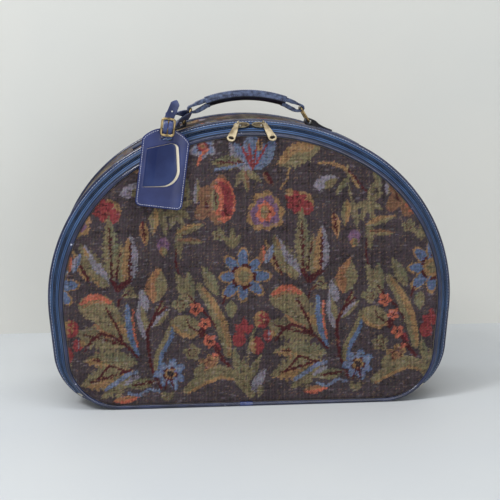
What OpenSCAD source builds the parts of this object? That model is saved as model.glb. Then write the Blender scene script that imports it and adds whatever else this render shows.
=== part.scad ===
// Makeup train case: an arched, soft-sided vanity case with a front that zips open.
// X runs to the right, Y to the back and Z up. Z = 0 is the table under the case.
// Shapes are drawn lying down, front side up, and stood up at the end.

/* [Case outline] */
// Full width of the case across the zip band, mm
case_width = 460; // [360:5:560]
// Height of the case without its handle, mm
case_height = 325; // [290:1:360]
// Depth from front to back, mm
case_depth = 166; // [130:2:220]
// Radius of the top arch, mm
top_radius = 265; // [250:1:280]
// Radius of the shoulders, mm
shoulder_radius = 194; // [170:1:205]
// Radius of the bottom corners, mm
corner_radius = 66; // [45:1:80]
// Lean of the straight sides, degrees
side_lean = 5; // [0:0.5:9]

/* [Sloping zip band] */
// How far the front panel sits inside the widest outline, mm
band_inset = 14; // [8:0.5:18]
// Depth of the band from front piping to body piping, mm
band_depth = 19; // [17:0.5:24]
// Height at which the zip ends above the table, mm
zip_end_height = 18; // [14:1:30]
// Free gap between the two zip coils, mm
coil_gap = 1.3; // [1.1:0.1:1.6]
// Width of one zip coil, mm
coil_width = 2.2; // [1.8:0.1:2.6]
// Spacing of the coil turns, mm
coil_pitch = 4.5; // [4:0.5:9]

/* [Walls] */
// Diameter of the piping, mm
piping_dia = 4.2; // [3:0.2:5]
// Thickness of the joint sleeve on the front piping, mm
sleeve_wall = 0.35; // [0.2:0.05:0.6]
// Length of the joint sleeve, mm
sleeve_length = 15; // [8:1:30]
// Thickness of the tapestry cloth, mm
cover_wall = 1; // [0.6:0.1:1.6]
// Thickness of the stiffening board, mm
board_wall = 2.2; // [1.5:0.1:3]
// Thickness of the lining, mm
lining_wall = 0.8; // [0.5:0.1:1.2]
// Thickness of the zip tape, mm
tape_wall = 0.8; // [0.5:0.1:1.2]

/* [Zip sliders and pulls] */
// Length of a slider along the zip, mm
slider_length = 18; // [14:0.5:20]
// Width of a slider across the zip, mm
slider_width = 9.2; // [8.5:0.2:11]
// Free space between the two sliders, mm
slider_space = 2; // [1.6:0.2:6]
// Thickness of the slider plates, mm
plate_wall = 1.5; // [1:0.1:2]
// How far out on its slider each pull hangs, mm
pull_offset = 4; // [3:0.2:4.6]
// Length of a pull, mm
pull_length = 27; // [20:1:34]
// Width of a pull, mm
pull_width = 9.4; // [7:0.2:11]
// Thickness of a pull, mm
pull_wall = 1.5; // [1:0.1:2]
// Angle at which each pull fans out, degrees
pull_fan = 24; // [20:1:50]

/* [Handle and rings] */
// Spacing of the ring joints on the case, mm
handle_span = 146; // [130:2:180]
// Height of the ring joint above the case, mm
ring_stand = 5; // [4.8:0.1:6]
// Length of a ring between its two bars, mm
ring_length = 18.6; // [16:0.2:22]
// Inside width of a ring, mm
ring_inside = 21; // [20:0.5:28]
// Diameter of the ring wire, mm
ring_wire = 3.2; // [2.6:0.1:3.8]
// Lean of each ring from upright, degrees
ring_lean = 30.7; // [25:0.1:36]
// Height of the grip section, mm
grip_height = 11; // [9:0.5:14]
// Width of the grip section, mm
grip_width = 19; // [14:0.5:20]
// Rise of the grip centre line above the ring bars, mm
grip_rise = 15; // [12:0.5:18]
// Thickness of the handle leather, mm
leather_wall = 2.2; // [1.6:0.1:2.6]
// Length of a handle end loop from its ring bar to the grip, mm
loop_length = 18; // [15:0.5:24]
// Width of the straps stitched along the crest, mm
crest_strap_width = 25; // [18:1:32]
// Outer end of the crest straps, degrees round the arch
crest_strap_end = 29.9; // [26:0.1:30.2]
// Slack between parts that move in each other, mm
slack = 0.35; // [0.3:0.05:0.5]

/* [Luggage tag] */
// Width of the tag, mm
tag_width = 52; // [40:1:60]
// Height of the tag, mm
tag_height = 88; // [70:1:100]
// Thickness of one tag leather, mm
tag_wall = 1.2; // [0.9:0.1:1.6]
// Lean of the hanging tag, degrees
tag_lean = 7.8; // [0:0.2:9]
// Sideways place of the tag slot, mm from the middle
tag_side = 93; // [88:1:100]
// Width of the tag strap, mm
strap_width = 10; // [8:0.5:10]
// Thickness of the tag strap, mm
strap_wall = 1.4; // [1:0.1:1.6]
// Height of the free strap end above the tag slot, mm
strap_reach = 41.4; // [38:0.2:44]
// Height of the free strap hole above the tag slot, mm
strap_hole = 28.3; // [27:0.1:33]
// Lean of the buckle and the free strap end, degrees
strap_lean = 8; // [6:1:16]
// Further lean of the free strap end above the buckle, degrees
strap_bend = 16; // [0:1:18]
// Thickness of the paper card, mm
card_wall = 0.4; // [0.3:0.1:0.5]

/* [Hidden] */
$fn = 96;
eps = 0.01;
// outline: arch, shoulders, leaning sides, corners, flat bottom
arch_z = case_height - top_radius;
sh_x = case_width / 2 - shoulder_radius;
sh_z = arch_z + sqrt(pow(top_radius - shoulder_radius, 2) - sh_x * sh_x);
meet = atan2(sh_x, sh_z - arch_z);
function corner_r(q) = corner_radius - 0.3 * q;
function corner_x(q) = (sh_x * cos(side_lean) - sh_z * sin(side_lean) + shoulder_radius - q
    - corner_r(q) + sin(side_lean) * corner_r(q)) / cos(side_lean);
function side_len(q) = (sh_x - corner_x(q)) * sin(side_lean)
    + (sh_z - corner_r(q)) * cos(side_lean);
// levels front (+) to back (-)
pr = piping_dia / 2;
edge = pr + sleeve_wall;
f_front = case_depth / 2 - edge;
f_body = f_front - band_depth;
f_back = -case_depth / 2 + edge;
f_split = f_body + band_depth / 2;
function inset_at(f) = band_inset * (f - f_body) / band_depth;
slope = atan2(band_inset, band_depth);
panel_in = edge + pr + 0.03;
touch = 0.05;
cover_in = edge;
board_in = cover_in + cover_wall;
lining_in = board_in + board_wall;
inner_in = lining_in + lining_wall;
// zip band layers, measured inward from the sloping outline
tape_in = 1.0;
rim_in = tape_in + tape_wall;
rim_out = rim_in + 1.8;
coil_top = 0.2;
coil_bottom = 2.6;
coil_mid = (coil_top + coil_bottom) / 2;
turn_width = coil_width - max(rim_in - coil_mid, coil_mid - tape_in) * sin(slope) - 0.05;
gap_f = coil_gap / 2 * cos(slope);
coil_f = coil_width * cos(slope);
plate_f = slider_width / 2 * cos(slope) + 0.8;
// zip arch, the line the sliders follow
zip_r = top_radius - inset_at(f_split) - coil_mid;
// slider levels along the band normal
coil_half = (coil_bottom - coil_top) / 2 * cos(slope);
plate_low = coil_half + 0.5;
plate_top = plate_low + plate_wall;
bail_wire = 0.8;
pull_axis_n = plate_top + 2.9;
pull_pitch = 14;
rest_turn = asin((slider_length + slider_space) / 2 / zip_r);
// handle
crest_r = top_radius - cover_in;
bar_x = handle_span / 2;
bar_z = arch_z + sqrt(crest_r * crest_r - bar_x * bar_x) + ring_stand;
wr = ring_wire / 2;
top_x = bar_x - ring_length * sin(ring_lean);
top_z = bar_z + ring_length * cos(ring_lean);
side_y = ring_inside / 2 + wr;
eye_in = wr + slack;
eye_out = eye_in + leather_wall;
chape_width = ring_inside - 2 * slack - 0.6;
split_x = top_x - loop_length;
grip_r = (top_x * top_x + grip_rise * grip_rise) / (2 * grip_rise);
grip_cz = top_z + grip_rise - grip_r;
grip_turn = asin(split_x / grip_r);
chape_turn = asin(bar_x / crest_r) + 1.8;
// tag stack, front to back, all in front of the front panel
tag_back_f = case_depth / 2 + 2.5;
tag_mid_f = tag_back_f + tag_wall;
tag_front_f = tag_mid_f + tag_wall + card_wall;
flap_f = tag_front_f + slack;
slot_down = 9;
slot_high = 8;
tag_z = bar_z - 9.5;
bar_r = 1;
frame_high = 20;
frame_wide = 15.5;
buckle_f = tag_front_f + 5;
buckle_up = 10.5;
prong_r = 0.7;
flap_wide = 35;
flap_high = 50.8;
flap_down = 16;
flap_left = -19.5;

// ---------- shared shapes ----------
module stand() rotate([90, 0, 0]) children();

module mirrored() {
  children();
  mirror([1, 0, 0]) children();
}

function arc_pts(x, z, r, a0, a1, i0, n) =
  [for (i = [i0:n]) let (a = a0 + (a1 - a0) * i / n) [x + r * cos(a), z + r * sin(a)]];
function half_pts(q, d) = concat(
  arc_pts(0, arch_z, top_radius - q - d, 90, 90 - meet, 0, 10),
  arc_pts(sh_x, sh_z, shoulder_radius - q - d, 90 - meet, -side_lean, 1, 12),
  arc_pts(corner_x(q), corner_r(q), corner_r(q) - d, -side_lean, -90, 0, 9));
function loop_pts(q, d) = let (h = half_pts(q, d)) concat(h,
  [for (i = [len(h) - 1:-1:1]) [-h[i][0], h[i][1]]]);

// panel with the case outline, inset by q on the slope and by d all round
module panel(q, d, f0, f1) {
  translate([0, 0, f0]) linear_extrude(f1 - f0) polygon(loop_pts(q, d));
}

// wall that follows the outline between two insets and two levels
module wall(d0, d1, f0, f1) {
  translate([0, 0, f0]) linear_extrude(f1 - f0) difference() {
    polygon(loop_pts(0, d0));
    polygon(loop_pts(0, d1));
  }
}

// round cord that follows the outline at one level
module cord_loop(q, f) {
  sides = 10;
  n = len(loop_pts(q, edge));
  polyhedron(
    points = [for (j = [0:sides - 1])
      let (a = 360 * j / sides, ring = loop_pts(q, edge - pr * cos(a)))
        for (p = ring) [p[0], p[1], f + pr * sin(a)]],
    faces = [for (j = [0:sides - 1]) for (i = [0:n - 1])
      let (a = j * n + i, b = j * n + (i + 1) % n,
           c = ((j + 1) % sides) * n + (i + 1) % n, d = ((j + 1) % sides) * n + i)
        each [[a, c, b], [a, d, c]]]);
}

// sloping shell of the zip band between two levels and two insets
module band(f0, f1, d0, d1) {
  difference() {
    hull() {
      panel(inset_at(f0), d0, f0, f0 + eps);
      panel(inset_at(f1), d0, f1 - eps, f1);
    }
    hull() {
      panel(inset_at(f0 - 1), d1, f0 - 1, f0 - 1 + eps);
      panel(inset_at(f1 + 1), d1, f1 + 1 - eps, f1 + 1);
    }
  }
}

module above(z) {
  intersection() {
    children();
    translate([-case_width, z, -case_depth]) cube([2 * case_width, case_height, 2 * case_depth]);
  }
}

module below(z) {
  intersection() {
    children();
    translate([-case_width, z - case_height, -case_depth])
      cube([2 * case_width, case_height, 2 * case_depth]);
  }
}

// ---------- body shell ----------
module gusset_cover() {
  color([0.30, 0.26, 0.28]) stand()
    wall(cover_in, board_in, f_back + pr + touch, f_body - pr - touch);
}

module gusset_board() {
  color([0.62, 0.56, 0.48]) stand()
    wall(board_in, lining_in, f_back + pr + touch + cover_wall, f_body - pr - touch);
}

module gusset_lining() {
  color([0.12, 0.13, 0.20]) stand()
    wall(lining_in, inner_in, f_back + pr + touch + cover_wall, f_body);
}

module back_cover() {
  color([0.30, 0.26, 0.28]) stand()
    panel(0, panel_in, f_back - 0.8, f_back - 0.8 + cover_wall);
}

module back_board() {
  color([0.62, 0.56, 0.48]) stand()
    panel(0, panel_in, f_back - 0.8 + cover_wall, f_back - 0.8 + cover_wall + board_wall);
}

module back_lining() {
  color([0.12, 0.13, 0.20]) stand()
    panel(0, panel_in, f_back - 0.8 + cover_wall + board_wall,
      f_back - 0.8 + cover_wall + board_wall + lining_wall - 0.05);
}

module back_piping() {
  color([0.10, 0.12, 0.24]) stand() cord_loop(0, f_back);
}

module body_piping() {
  color([0.10, 0.12, 0.24]) stand() cord_loop(0, f_body);
}

module base_pad() {
  color([0.20, 0.19, 0.22]) stand()
    translate([-corner_x(0) + 8, 0, f_back + pr + 4])
      cube([2 * corner_x(0) - 16, cover_in, f_body - f_back - 2 * pr - 8]);
}

module body_rim() {
  color([0.12, 0.20, 0.38]) stand() above(zip_end_height - 0.3)
    band(f_body + pr + touch, f_split - plate_f, rim_in, rim_out);
}

module body_zip_tape() {
  color([0.16, 0.28, 0.46]) stand() above(zip_end_height - 0.3)
    band(f_body + pr + touch, f_split - gap_f - coil_f, tape_in, rim_in);
}

module hinge_band() {
  color([0.12, 0.20, 0.38]) stand() below(zip_end_height - 0.3)
    band(f_body + pr + touch, f_front - pr - slack, rim_in, rim_out);
}

// one zip coil: a rail with a turn every pitch; side = -1 body half, 1 lid half
module coil(side) {
  f0 = side > 0 ? f_split + gap_f : f_split - gap_f - coil_f;
  rail_f = side > 0 ? f0 + coil_f * 0.35 : f0;
  band(rail_f, rail_f + coil_f * 0.65, coil_top + 0.5, coil_bottom - 0.5);
  step = coil_pitch / zip_r * 180 / PI;
  turns = floor(meet / step);
  for (i = [-turns:turns])
    translate([0, arch_z, f_split]) rotate([0, 0, -i * step])
      translate([0, zip_r, 0]) rotate([-90 + slope, 0, 0])
        translate([0, -side * (coil_gap + turn_width) / 2, 0])
          cube([coil_pitch * 0.5, turn_width, 2 * coil_half], center = true);
}

module body_coil() {
  color([0.10, 0.18, 0.34]) stand() above(zip_end_height - 0.3) coil(-1);
}

module zip_end_stops() {
  color([0.55, 0.50, 0.42]) stand() mirrored() below(zip_end_height - 0.3) hull()
    for (f = [f_split - gap_f - coil_f, f_split - gap_f - eps]) {
      q = inset_at(f);
      a = asin((zip_end_height - 2.6 - corner_r(q)) / corner_r(q));
      translate([corner_x(q), corner_r(q), f]) rotate([0, 0, a])
        translate([corner_r(q) - rim_in, -3, 0]) cube([rim_in - 0.1, 6, eps]);
    }
}

// ---------- chapes and crest straps ----------
module chape(side) {
  bx = side * bar_x;
  stand() difference() {
    hull() {
      translate([bx, bar_z, -chape_width / 2]) cylinder(r = eye_out, h = chape_width, $fn = 48);
      translate([0, arch_z, -chape_width / 2]) rotate([0, 0, -side * chape_turn])
        translate([-1, crest_r - 0.2, 0]) cube([2, 0.2 + leather_wall, chape_width]);
    }
    translate([bx, bar_z, -chape_width]) cylinder(r = eye_in, h = 2 * chape_width, $fn = 48);
    translate([0, arch_z, -chape_width]) cylinder(r = crest_r, h = 2 * chape_width, $fn = 180);
  }
}

module chape_left() color([0.14, 0.15, 0.24]) chape(-1);
module chape_right() color([0.14, 0.15, 0.24]) chape(1);

module crest_strap(side) {
  a = crest_strap_end - chape_turn - 0.35;
  stand() translate([0, arch_z, 0])
    rotate([0, 0, side > 0 ? 90 - crest_strap_end : 90 + crest_strap_end - a])
      rotate_extrude(angle = a, $fn = 180)
        translate([crest_r, -crest_strap_width / 2]) square([leather_wall, crest_strap_width]);
}

module crest_strap_left() color([0.14, 0.15, 0.24]) crest_strap(-1);
module crest_strap_right() color([0.14, 0.15, 0.24]) crest_strap(1);

// ---------- front panel, which opens as a lid ----------
module lid_cover() {
  color([0.30, 0.26, 0.28]) stand()
    panel(band_inset, panel_in, f_front + 0.8 - cover_wall, f_front + 0.8);
}

module lid_board() {
  color([0.62, 0.56, 0.48]) stand()
    panel(band_inset, panel_in, f_front + 0.8 - cover_wall - board_wall,
      f_front + 0.8 - cover_wall);
}

module lid_lining() {
  color([0.12, 0.13, 0.20]) stand()
    panel(band_inset, panel_in, f_front + 0.8 - cover_wall - board_wall - lining_wall,
      f_front + 0.8 - cover_wall - board_wall);
}

module lid_piping() {
  color([0.10, 0.12, 0.24]) stand() cord_loop(band_inset, f_front);
}

module piping_sleeve() {
  color([0.15, 0.28, 0.62]) translate([-8 - sleeve_length / 2, -f_front, edge])
    rotate([0, 90, 0]) difference() {
      cylinder(r = edge, h = sleeve_length);
      translate([0, 0, -1]) cylinder(r = pr, h = sleeve_length + 2);
      translate([-2 * edge, -edge, -1]) cube([2 * edge - pr + 0.3, 2 * edge, sleeve_length + 2]);
    }
}

module lid_rim() {
  color([0.12, 0.20, 0.38]) stand() above(zip_end_height)
    band(f_split + plate_f, f_front - pr - touch, rim_in, rim_out);
}

module lid_zip_tape() {
  color([0.16, 0.28, 0.46]) stand() above(zip_end_height)
    band(f_split + gap_f + coil_f, f_front - pr - touch, tape_in, rim_in);
}

module lid_coil() {
  color([0.10, 0.18, 0.34]) stand() above(zip_end_height) coil(1);
}

// ---------- zip sliders and pulls ----------
// puts a piece on the zip line: x along the zip, y to the front, z off the band
module on_zip(turn) {
  stand() translate([0, arch_z, f_split]) rotate([0, 0, -turn])
    translate([0, zip_r, 0]) rotate([slope - 90, 0, 0]) mirror([0, 1, 0]) children();
}

// two plates joined by a post that stands in the gap between the coils
module slider_oval(cut) {
  scale([slider_length / 2 - cut, slider_width / 2 - cut]) circle(1, $fn = 96);
}
module slider(side) {
  on_zip(side * rest_turn) {
    translate([0, 0, plate_low]) difference() {
      linear_extrude(plate_wall) slider_oval(0);
      translate([0, 0, plate_wall - 0.6]) linear_extrude(1) slider_oval(1);
    }
    translate([0, 0, -plate_top]) linear_extrude(plate_wall) intersection() {
      translate([-slider_length / 2, -coil_gap / 2 + slack])
        square([slider_length, slider_width / 2 + coil_gap / 2 - slack]);
      slider_oval(0.6);
    }
    translate([-1.6, -coil_gap / 2 + slack, -plate_low - eps])
      cube([3.2, coil_gap - 2 * slack, 2 * plate_low + 2 * eps]);
    translate([-3.4, slider_width / 2 - 1.3, coil_half * 0.8])
      cube([6.8, 0.8, plate_low - coil_half * 0.8 + 0.3]);
    translate([side * pull_offset, 0, 0]) rotate([0, 0, -side * pull_fan]) {
      translate([0, 0, pull_axis_n - 2.7]) rotate([90, 0, 0])
        rotate_extrude(angle = 180) translate([2.7, 0]) circle(bail_wire, $fn = 24);
      for (s = [-1, 1]) translate([s * 2.7, 0, plate_top - 1])
        cylinder(r = bail_wire, h = pull_axis_n - 2.7 - plate_top + 1, $fn = 24);
    }
  }
}

module slider_left() color([0.72, 0.69, 0.62]) slider(-1);
module slider_right() color([0.72, 0.69, 0.62]) slider(1);

module pull(side) {
  eye = bail_wire + slack;
  on_zip(side * rest_turn)
    translate([side * pull_offset, 0, pull_axis_n]) rotate([-pull_pitch, 0, 0])
      rotate([0, 0, -side * pull_fan]) difference() {
        union() {
          rotate([0, 90, 0]) cylinder(r = eye + 1, h = 1.9, center = true, $fn = 48);
          translate([-0.95, 0, -pull_wall / 2]) cube([1.9, 5.4, pull_wall]);
          translate([0, 0, -pull_wall / 2]) linear_extrude(pull_wall) hull() {
            translate([0, pull_length - pull_width / 2]) circle(pull_width / 2, $fn = 64);
            for (s = [-1, 1]) translate([s * (pull_width * 0.33 - 1), 6]) circle(1, $fn = 32);
          }
        }
        rotate([0, 90, 0]) cylinder(r = eye, h = 4, center = true, $fn = 48);
        translate([0, pull_length - 4.7, -pull_wall]) scale([1, 0.75, 1])
          cylinder(r = pull_width * 0.3, h = 2 * pull_wall, $fn = 64);
      }
}

module pull_left() color([0.78, 0.74, 0.65]) pull(-1);
module pull_right() color([0.78, 0.74, 0.65]) pull(1);

// ---------- rings and handle ----------
module ring(side) {
  stand() {
    for (p = [[side * bar_x, bar_z], [side * top_x, top_z]]) {
      translate([p[0], p[1], -side_y - wr]) cylinder(r = wr, h = 2 * (side_y + wr), $fn = 32);
    }
    for (s = [-1, 1]) translate([side * bar_x, bar_z, s * side_y])
      rotate([0, 0, side * ring_lean]) rotate([-90, 0, 0])
        cylinder(r = wr * 0.92, h = ring_length, $fn = 32);
  }
}

module ring_left() color([0.45, 0.36, 0.22]) ring(-1);
module ring_right() color([0.45, 0.36, 0.22]) ring(1);

// rounded grip section, drawn as (up, front)
module grip_section(w, h) {
  square([h, w - h], center = true);
  for (s = [-1, 1]) translate([0, s * (w - h) / 2]) circle(h / 2, $fn = 48);
}

module handle_core() {
  color([0.75, 0.70, 0.60]) stand() translate([0, grip_cz, 0]) rotate([0, 0, 90 - grip_turn])
    rotate_extrude(angle = 2 * grip_turn, $fn = 180) translate([grip_r, 0]) circle(2.5, $fn = 32);
}

module handle_grip() {
  color([0.14, 0.16, 0.28]) stand() translate([0, grip_cz, 0]) rotate([0, 0, 90 - grip_turn])
    rotate_extrude(angle = 2 * grip_turn, $fn = 180) translate([grip_r, 0]) difference() {
      grip_section(grip_width, grip_height);
      circle(2.5, $fn = 32);
    }
}

module handle_strip() {
  color([0.20, 0.22, 0.34]) stand() translate([0, grip_cz, 0]) rotate([0, 0, 90 - grip_turn])
    rotate_extrude(angle = 2 * grip_turn, $fn = 180)
      translate([grip_r + grip_height / 2, -(grip_width - grip_height) / 2])
        square([1.1, grip_width - grip_height]);
}

// leather end of the handle, open round the ring bar
module handle_loop(side) {
  w = min(grip_width, ring_inside - 2 * slack) - 1;
  stand() difference() {
    hull() {
      translate([side * top_x, top_z, -w / 2]) cylinder(r = eye_out, h = w, $fn = 48);
      translate([0, grip_cz, -w / 2]) rotate([0, 0, -side * (grip_turn + 0.4)])
        translate([-0.5, grip_r - grip_height / 2 + 0.4, 0]) cube([1, grip_height - 0.8, w]);
    }
    hull() {
      translate([side * top_x, top_z, -w]) cylinder(r = eye_in, h = 2 * w, $fn = 48);
      translate([side * (split_x + 6), top_z + 3.2, -w]) cylinder(r = 2.3, h = 2 * w, $fn = 32);
    }
    translate([0, grip_cz, -w]) rotate([0, 0, -side * grip_turn])
      translate([side > 0 ? -grip_height : 0, 0, 0])
        cube([grip_height, grip_r + 2 * grip_height, 2 * w]);
  }
}

module handle_loop_left() color([0.14, 0.16, 0.28]) handle_loop(-1);
module handle_loop_right() color([0.14, 0.16, 0.28]) handle_loop(1);

// ---------- luggage tag ----------
// places flat pieces in front of the case: x right, y up, z to the front, origin at the slot
module at_slot(lean) stand() translate([-tag_side, tag_z, 0]) rotate([0, 0, -lean]) children();

module tag_outline(cut) {
  w = tag_width - 2 * cut;
  top = slot_down - cut;
  low = slot_down - tag_height + cut;
  r = w / 2;
  intersection() {
    translate([-w / 2, low]) square([w, top - low]);
    translate([0, top - w * 0.62]) circle(w * 0.62, $fn = 96);
  }
  translate([-w / 2 + 6, low]) square([w - 12, 12]);
  translate([-w / 2, low + 6]) square([w, top - w * 0.55 - low - 6]);
  for (s = [-1, 1]) translate([s * (w / 2 - 6), low + 6]) circle(6, $fn = 48);
}

module tag_slot(h) {
  translate([-(strap_width + 2) / 2, -slot_high / 2, 0]) cube([strap_width + 2, slot_high, h]);
}

// flap outline, straight along its hinge on the left; its window is wider at the right and foot
module flap_outline(grow) {
  top = slot_down - flap_down;
  intersection() {
    hull() for (p = [0, 1]) translate([p * max(grow - 0.5, 0), -p * min(grow, 0.5)])
      offset(r = min(grow, 0.5)) hull() {
        translate([flap_left, top - flap_high]) square([1, flap_high - 9]);
        translate([flap_left + flap_wide - 9, top - 5]) circle(5);
        translate([flap_left + flap_wide - 18, top - flap_high + 21]) circle(18);
      }
    translate([flap_left, top - 2 * flap_high]) square([2 * flap_wide, 3 * flap_high]);
  }
}
module tag_back() {
  color([0.22, 0.26, 0.47]) at_slot(tag_lean) translate([0, 0, tag_back_f]) difference() {
    linear_extrude(tag_wall) tag_outline(0);
    translate([0, 0, -1]) tag_slot(tag_wall + 2);
  }
}

module tag_front() {
  color([0.24, 0.28, 0.50]) at_slot(tag_lean) translate([0, 0, tag_mid_f]) difference() {
    linear_extrude(tag_wall + card_wall) tag_outline(0);
    translate([0, 0, -1]) tag_slot(tag_wall + card_wall + 2);
    translate([0, 0, -eps]) linear_extrude(card_wall + eps) card_outline();
    translate([0, 0, -1]) linear_extrude(tag_wall + card_wall + 2) flap_outline(2.5);
  }
}

module card_outline() {
  translate([flap_left - 3, slot_down - flap_down - flap_high - 5])
    square([flap_wide + 7, flap_high + 6]);
}
module tag_card() {
  color([0.90, 0.87, 0.76]) at_slot(tag_lean) translate([0, 0, tag_mid_f])
    linear_extrude(card_wall) card_outline();
}
module tag_flap() {
  color([0.24, 0.28, 0.50]) at_slot(tag_lean) translate([0, 0, flap_f])
    linear_extrude(tag_wall) flap_outline(0);
}

module strap_tip(len) {
  square([strap_width, len - 5], center = false);
  translate([0, len - 5 - eps]) polygon([[0, 0], [strap_width, 0], [strap_width * 0.72, 4],
    [strap_width / 2, 5], [strap_width * 0.28, 4]]);
}

// strap: round the side bar of the left ring, forward over the case, through the slot, up the buckle
module tag_strap() {
  t = strap_wall;
  w = strap_width;
  mx = -(bar_x + top_x) / 2;
  mz = (bar_z + top_z) / 2;
  turn = 90 - ring_lean;
  wrap = wr + 0.05 + t / 2;
  bar_top = buckle_up + frame_high / 2 - bar_r;
  bar_low = buckle_up - frame_high / 2 + bar_r;
  color([0.20, 0.24, 0.44]) {
    // wrap round the side bar
    stand() translate([mx, mz, side_y]) rotate([0, 0, turn]) rotate([0, 90, 0])
      translate([0, 0, -w / 2]) difference() {
        cylinder(r = wrap + t / 2, h = w, $fn = 48);
        translate([0, 0, -1]) cylinder(r = wrap - t / 2, h = w + 2, $fn = 48);
      }
    // upper run from the wrap to the buckle bar
    strap_run([mx - wrap * sin(turn), mz + wrap * cos(turn), side_y], turn,
      [-tag_side + (bar_top + 3.6) * sin(strap_lean), tag_z + (bar_top + 3.6) * cos(strap_lean),
       buckle_f - bar_r - 0.3 - t / 2], -strap_lean);
    // lower run from the wrap to a knee behind the tag
    strap_run([mx + wrap * sin(turn), mz - wrap * cos(turn), side_y], turn,
      [-tag_side + 7, tag_z + 10, f_body - 1], 0);
    hull() {
      strap_slab([-tag_side + 7, tag_z + 10, f_body - 2], 0);
      strap_slab([-tag_side + 2, tag_z + 0.4, tag_back_f - 12], -tag_lean);
    }
    hull() {
      strap_slab([-tag_side + 2, tag_z + 0.4, tag_back_f - 12], -tag_lean);
      strap_slab([-tag_side, tag_z, tag_front_f + 2], -tag_lean);
    }
    hull() {
      strap_slab([-tag_side, tag_z, tag_front_f + 1], -tag_lean);
      strap_slab([-tag_side + 0.3, tag_z + 1.5, tag_front_f + 2.6], -strap_lean);
    }
    // up behind the lower bar, domed through the frame and behind the upper bar
    at_slot(strap_lean) difference() {
      union() {
        hull() {
          translate([-w / 2, 0.6, buckle_f - bar_r - t - 0.6]) cube([w, 1, t]);
          translate([-w / 2, bar_low + 2, buckle_f - bar_r - t - 0.2]) cube([w, 1, t]);
        }
        for (s = [-1, 1]) hull() {
          translate([-w / 2, buckle_up + s * (frame_high / 2 - 3.5) - 0.5,
                     buckle_f - bar_r - t - 0.3]) cube([w, 1, t]);
          translate([-w / 2, buckle_up + s * 3 - 0.5, buckle_f]) cube([w, 1, t]);
        }
        translate([-w / 2, buckle_up - 3, buckle_f]) cube([w, 6, t]);
        translate([-w / 2, bar_top - 3, buckle_f - bar_r - t - 0.3]) cube([w, 4.5, t]);
        translate([0, bar_top, buckle_f - bar_r - t - 0.3]) rotate([0, 0, -strap_bend])
          translate([-w / 2, -0.5, 0]) linear_extrude(t) strap_tip(strap_reach - bar_top + 0.5);
      }
      translate([-prong_r - slack, bar_low + 3.4, buckle_f - 6])
        cube([2 * (prong_r + slack), bar_top - bar_low - 0.6, 14]);
      translate([0, bar_top, buckle_f - 4 * t]) rotate([0, 0, -strap_bend])
        translate([0, strap_hole - bar_top, 0]) cylinder(r = 1, h = 6 * t, $fn = 24);
    }
  }
}

// thin block of strap, its width turned by a from level
module strap_slab(p, a) {
  stand() translate(p) rotate([0, 0, a])
    cube([strap_width, strap_wall, 0.4], center = true);
}

// straight strap from p, turned by a, to q, turned by b
module strap_run(p, a, q, b) {
  v = q - p;
  n = norm(v);
  stand() translate(p) multmatrix([[1, 0, v[0] / n, 0], [0, 1, v[1] / n, 0],
                                   [0, 0, v[2] / n, 0], [0, 0, 0, 1]])
    rotate([0, 0, a]) linear_extrude(n, twist = a - b, slices = 10, $fn = 8)
      square([strap_width, strap_wall], center = true);
}

module tag_buckle() {
  x = frame_wide / 2 - bar_r;
  y = frame_high / 2 - bar_r;
  color([0.50, 0.38, 0.20]) at_slot(strap_lean) translate([0, buckle_up, buckle_f]) {
    for (s = [-1, 1]) {
      translate([-x, s * y, 0]) rotate([0, 90, 0]) cylinder(r = bar_r, h = 2 * x, $fn = 32);
      translate([s * x, -y, 0]) rotate([-90, 0, 0]) cylinder(r = bar_r, h = 2 * y, $fn = 32);
      for (k = [-1, 1]) translate([s * x, k * y, 0]) sphere(bar_r, $fn = 32);
    }
  }
}

// prong: an eye round the upper bar and a pin that rests on the lower bar
module tag_prong() {
  y = frame_high / 2 - bar_r;
  lift = asin((bar_r + slack + prong_r) / (2 * y));
  color([0.52, 0.40, 0.22]) at_slot(strap_lean) translate([0, buckle_up + y, buckle_f])
    difference() {
      union() {
        rotate([0, 90, 0])
          cylinder(r = bar_r + slack + prong_r, h = 2 * prong_r, center = true, $fn = 32);
        rotate([90 - lift, 0, 0]) translate([0, 0, bar_r + slack + 0.1])
          cylinder(r = prong_r, h = 2 * y - bar_r - slack, $fn = 24);
      }
      rotate([0, 90, 0]) cylinder(r = bar_r + slack, h = 4, center = true, $fn = 32);
    }
}

gusset_cover();
gusset_board();
gusset_lining();
back_cover();
back_board();
back_lining();
back_piping();
body_piping();
base_pad();
body_rim();
body_zip_tape();
hinge_band();
body_coil();
zip_end_stops();
chape_left();
chape_right();
crest_strap_left();
crest_strap_right();
lid_cover();
lid_board();
lid_lining();
lid_piping();
piping_sleeve();
lid_rim();
lid_zip_tape();
lid_coil();
slider_left();
slider_right();
pull_left();
pull_right();
ring_left();
ring_right();
handle_core();
handle_grip();
handle_strip();
handle_loop_left();
handle_loop_right();
tag_back();
tag_front();
tag_card();
tag_flap();
tag_strap();
tag_buckle();
tag_prong();
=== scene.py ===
import bpy
import math
import numpy as np
from mathutils import Matrix, Vector


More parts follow.
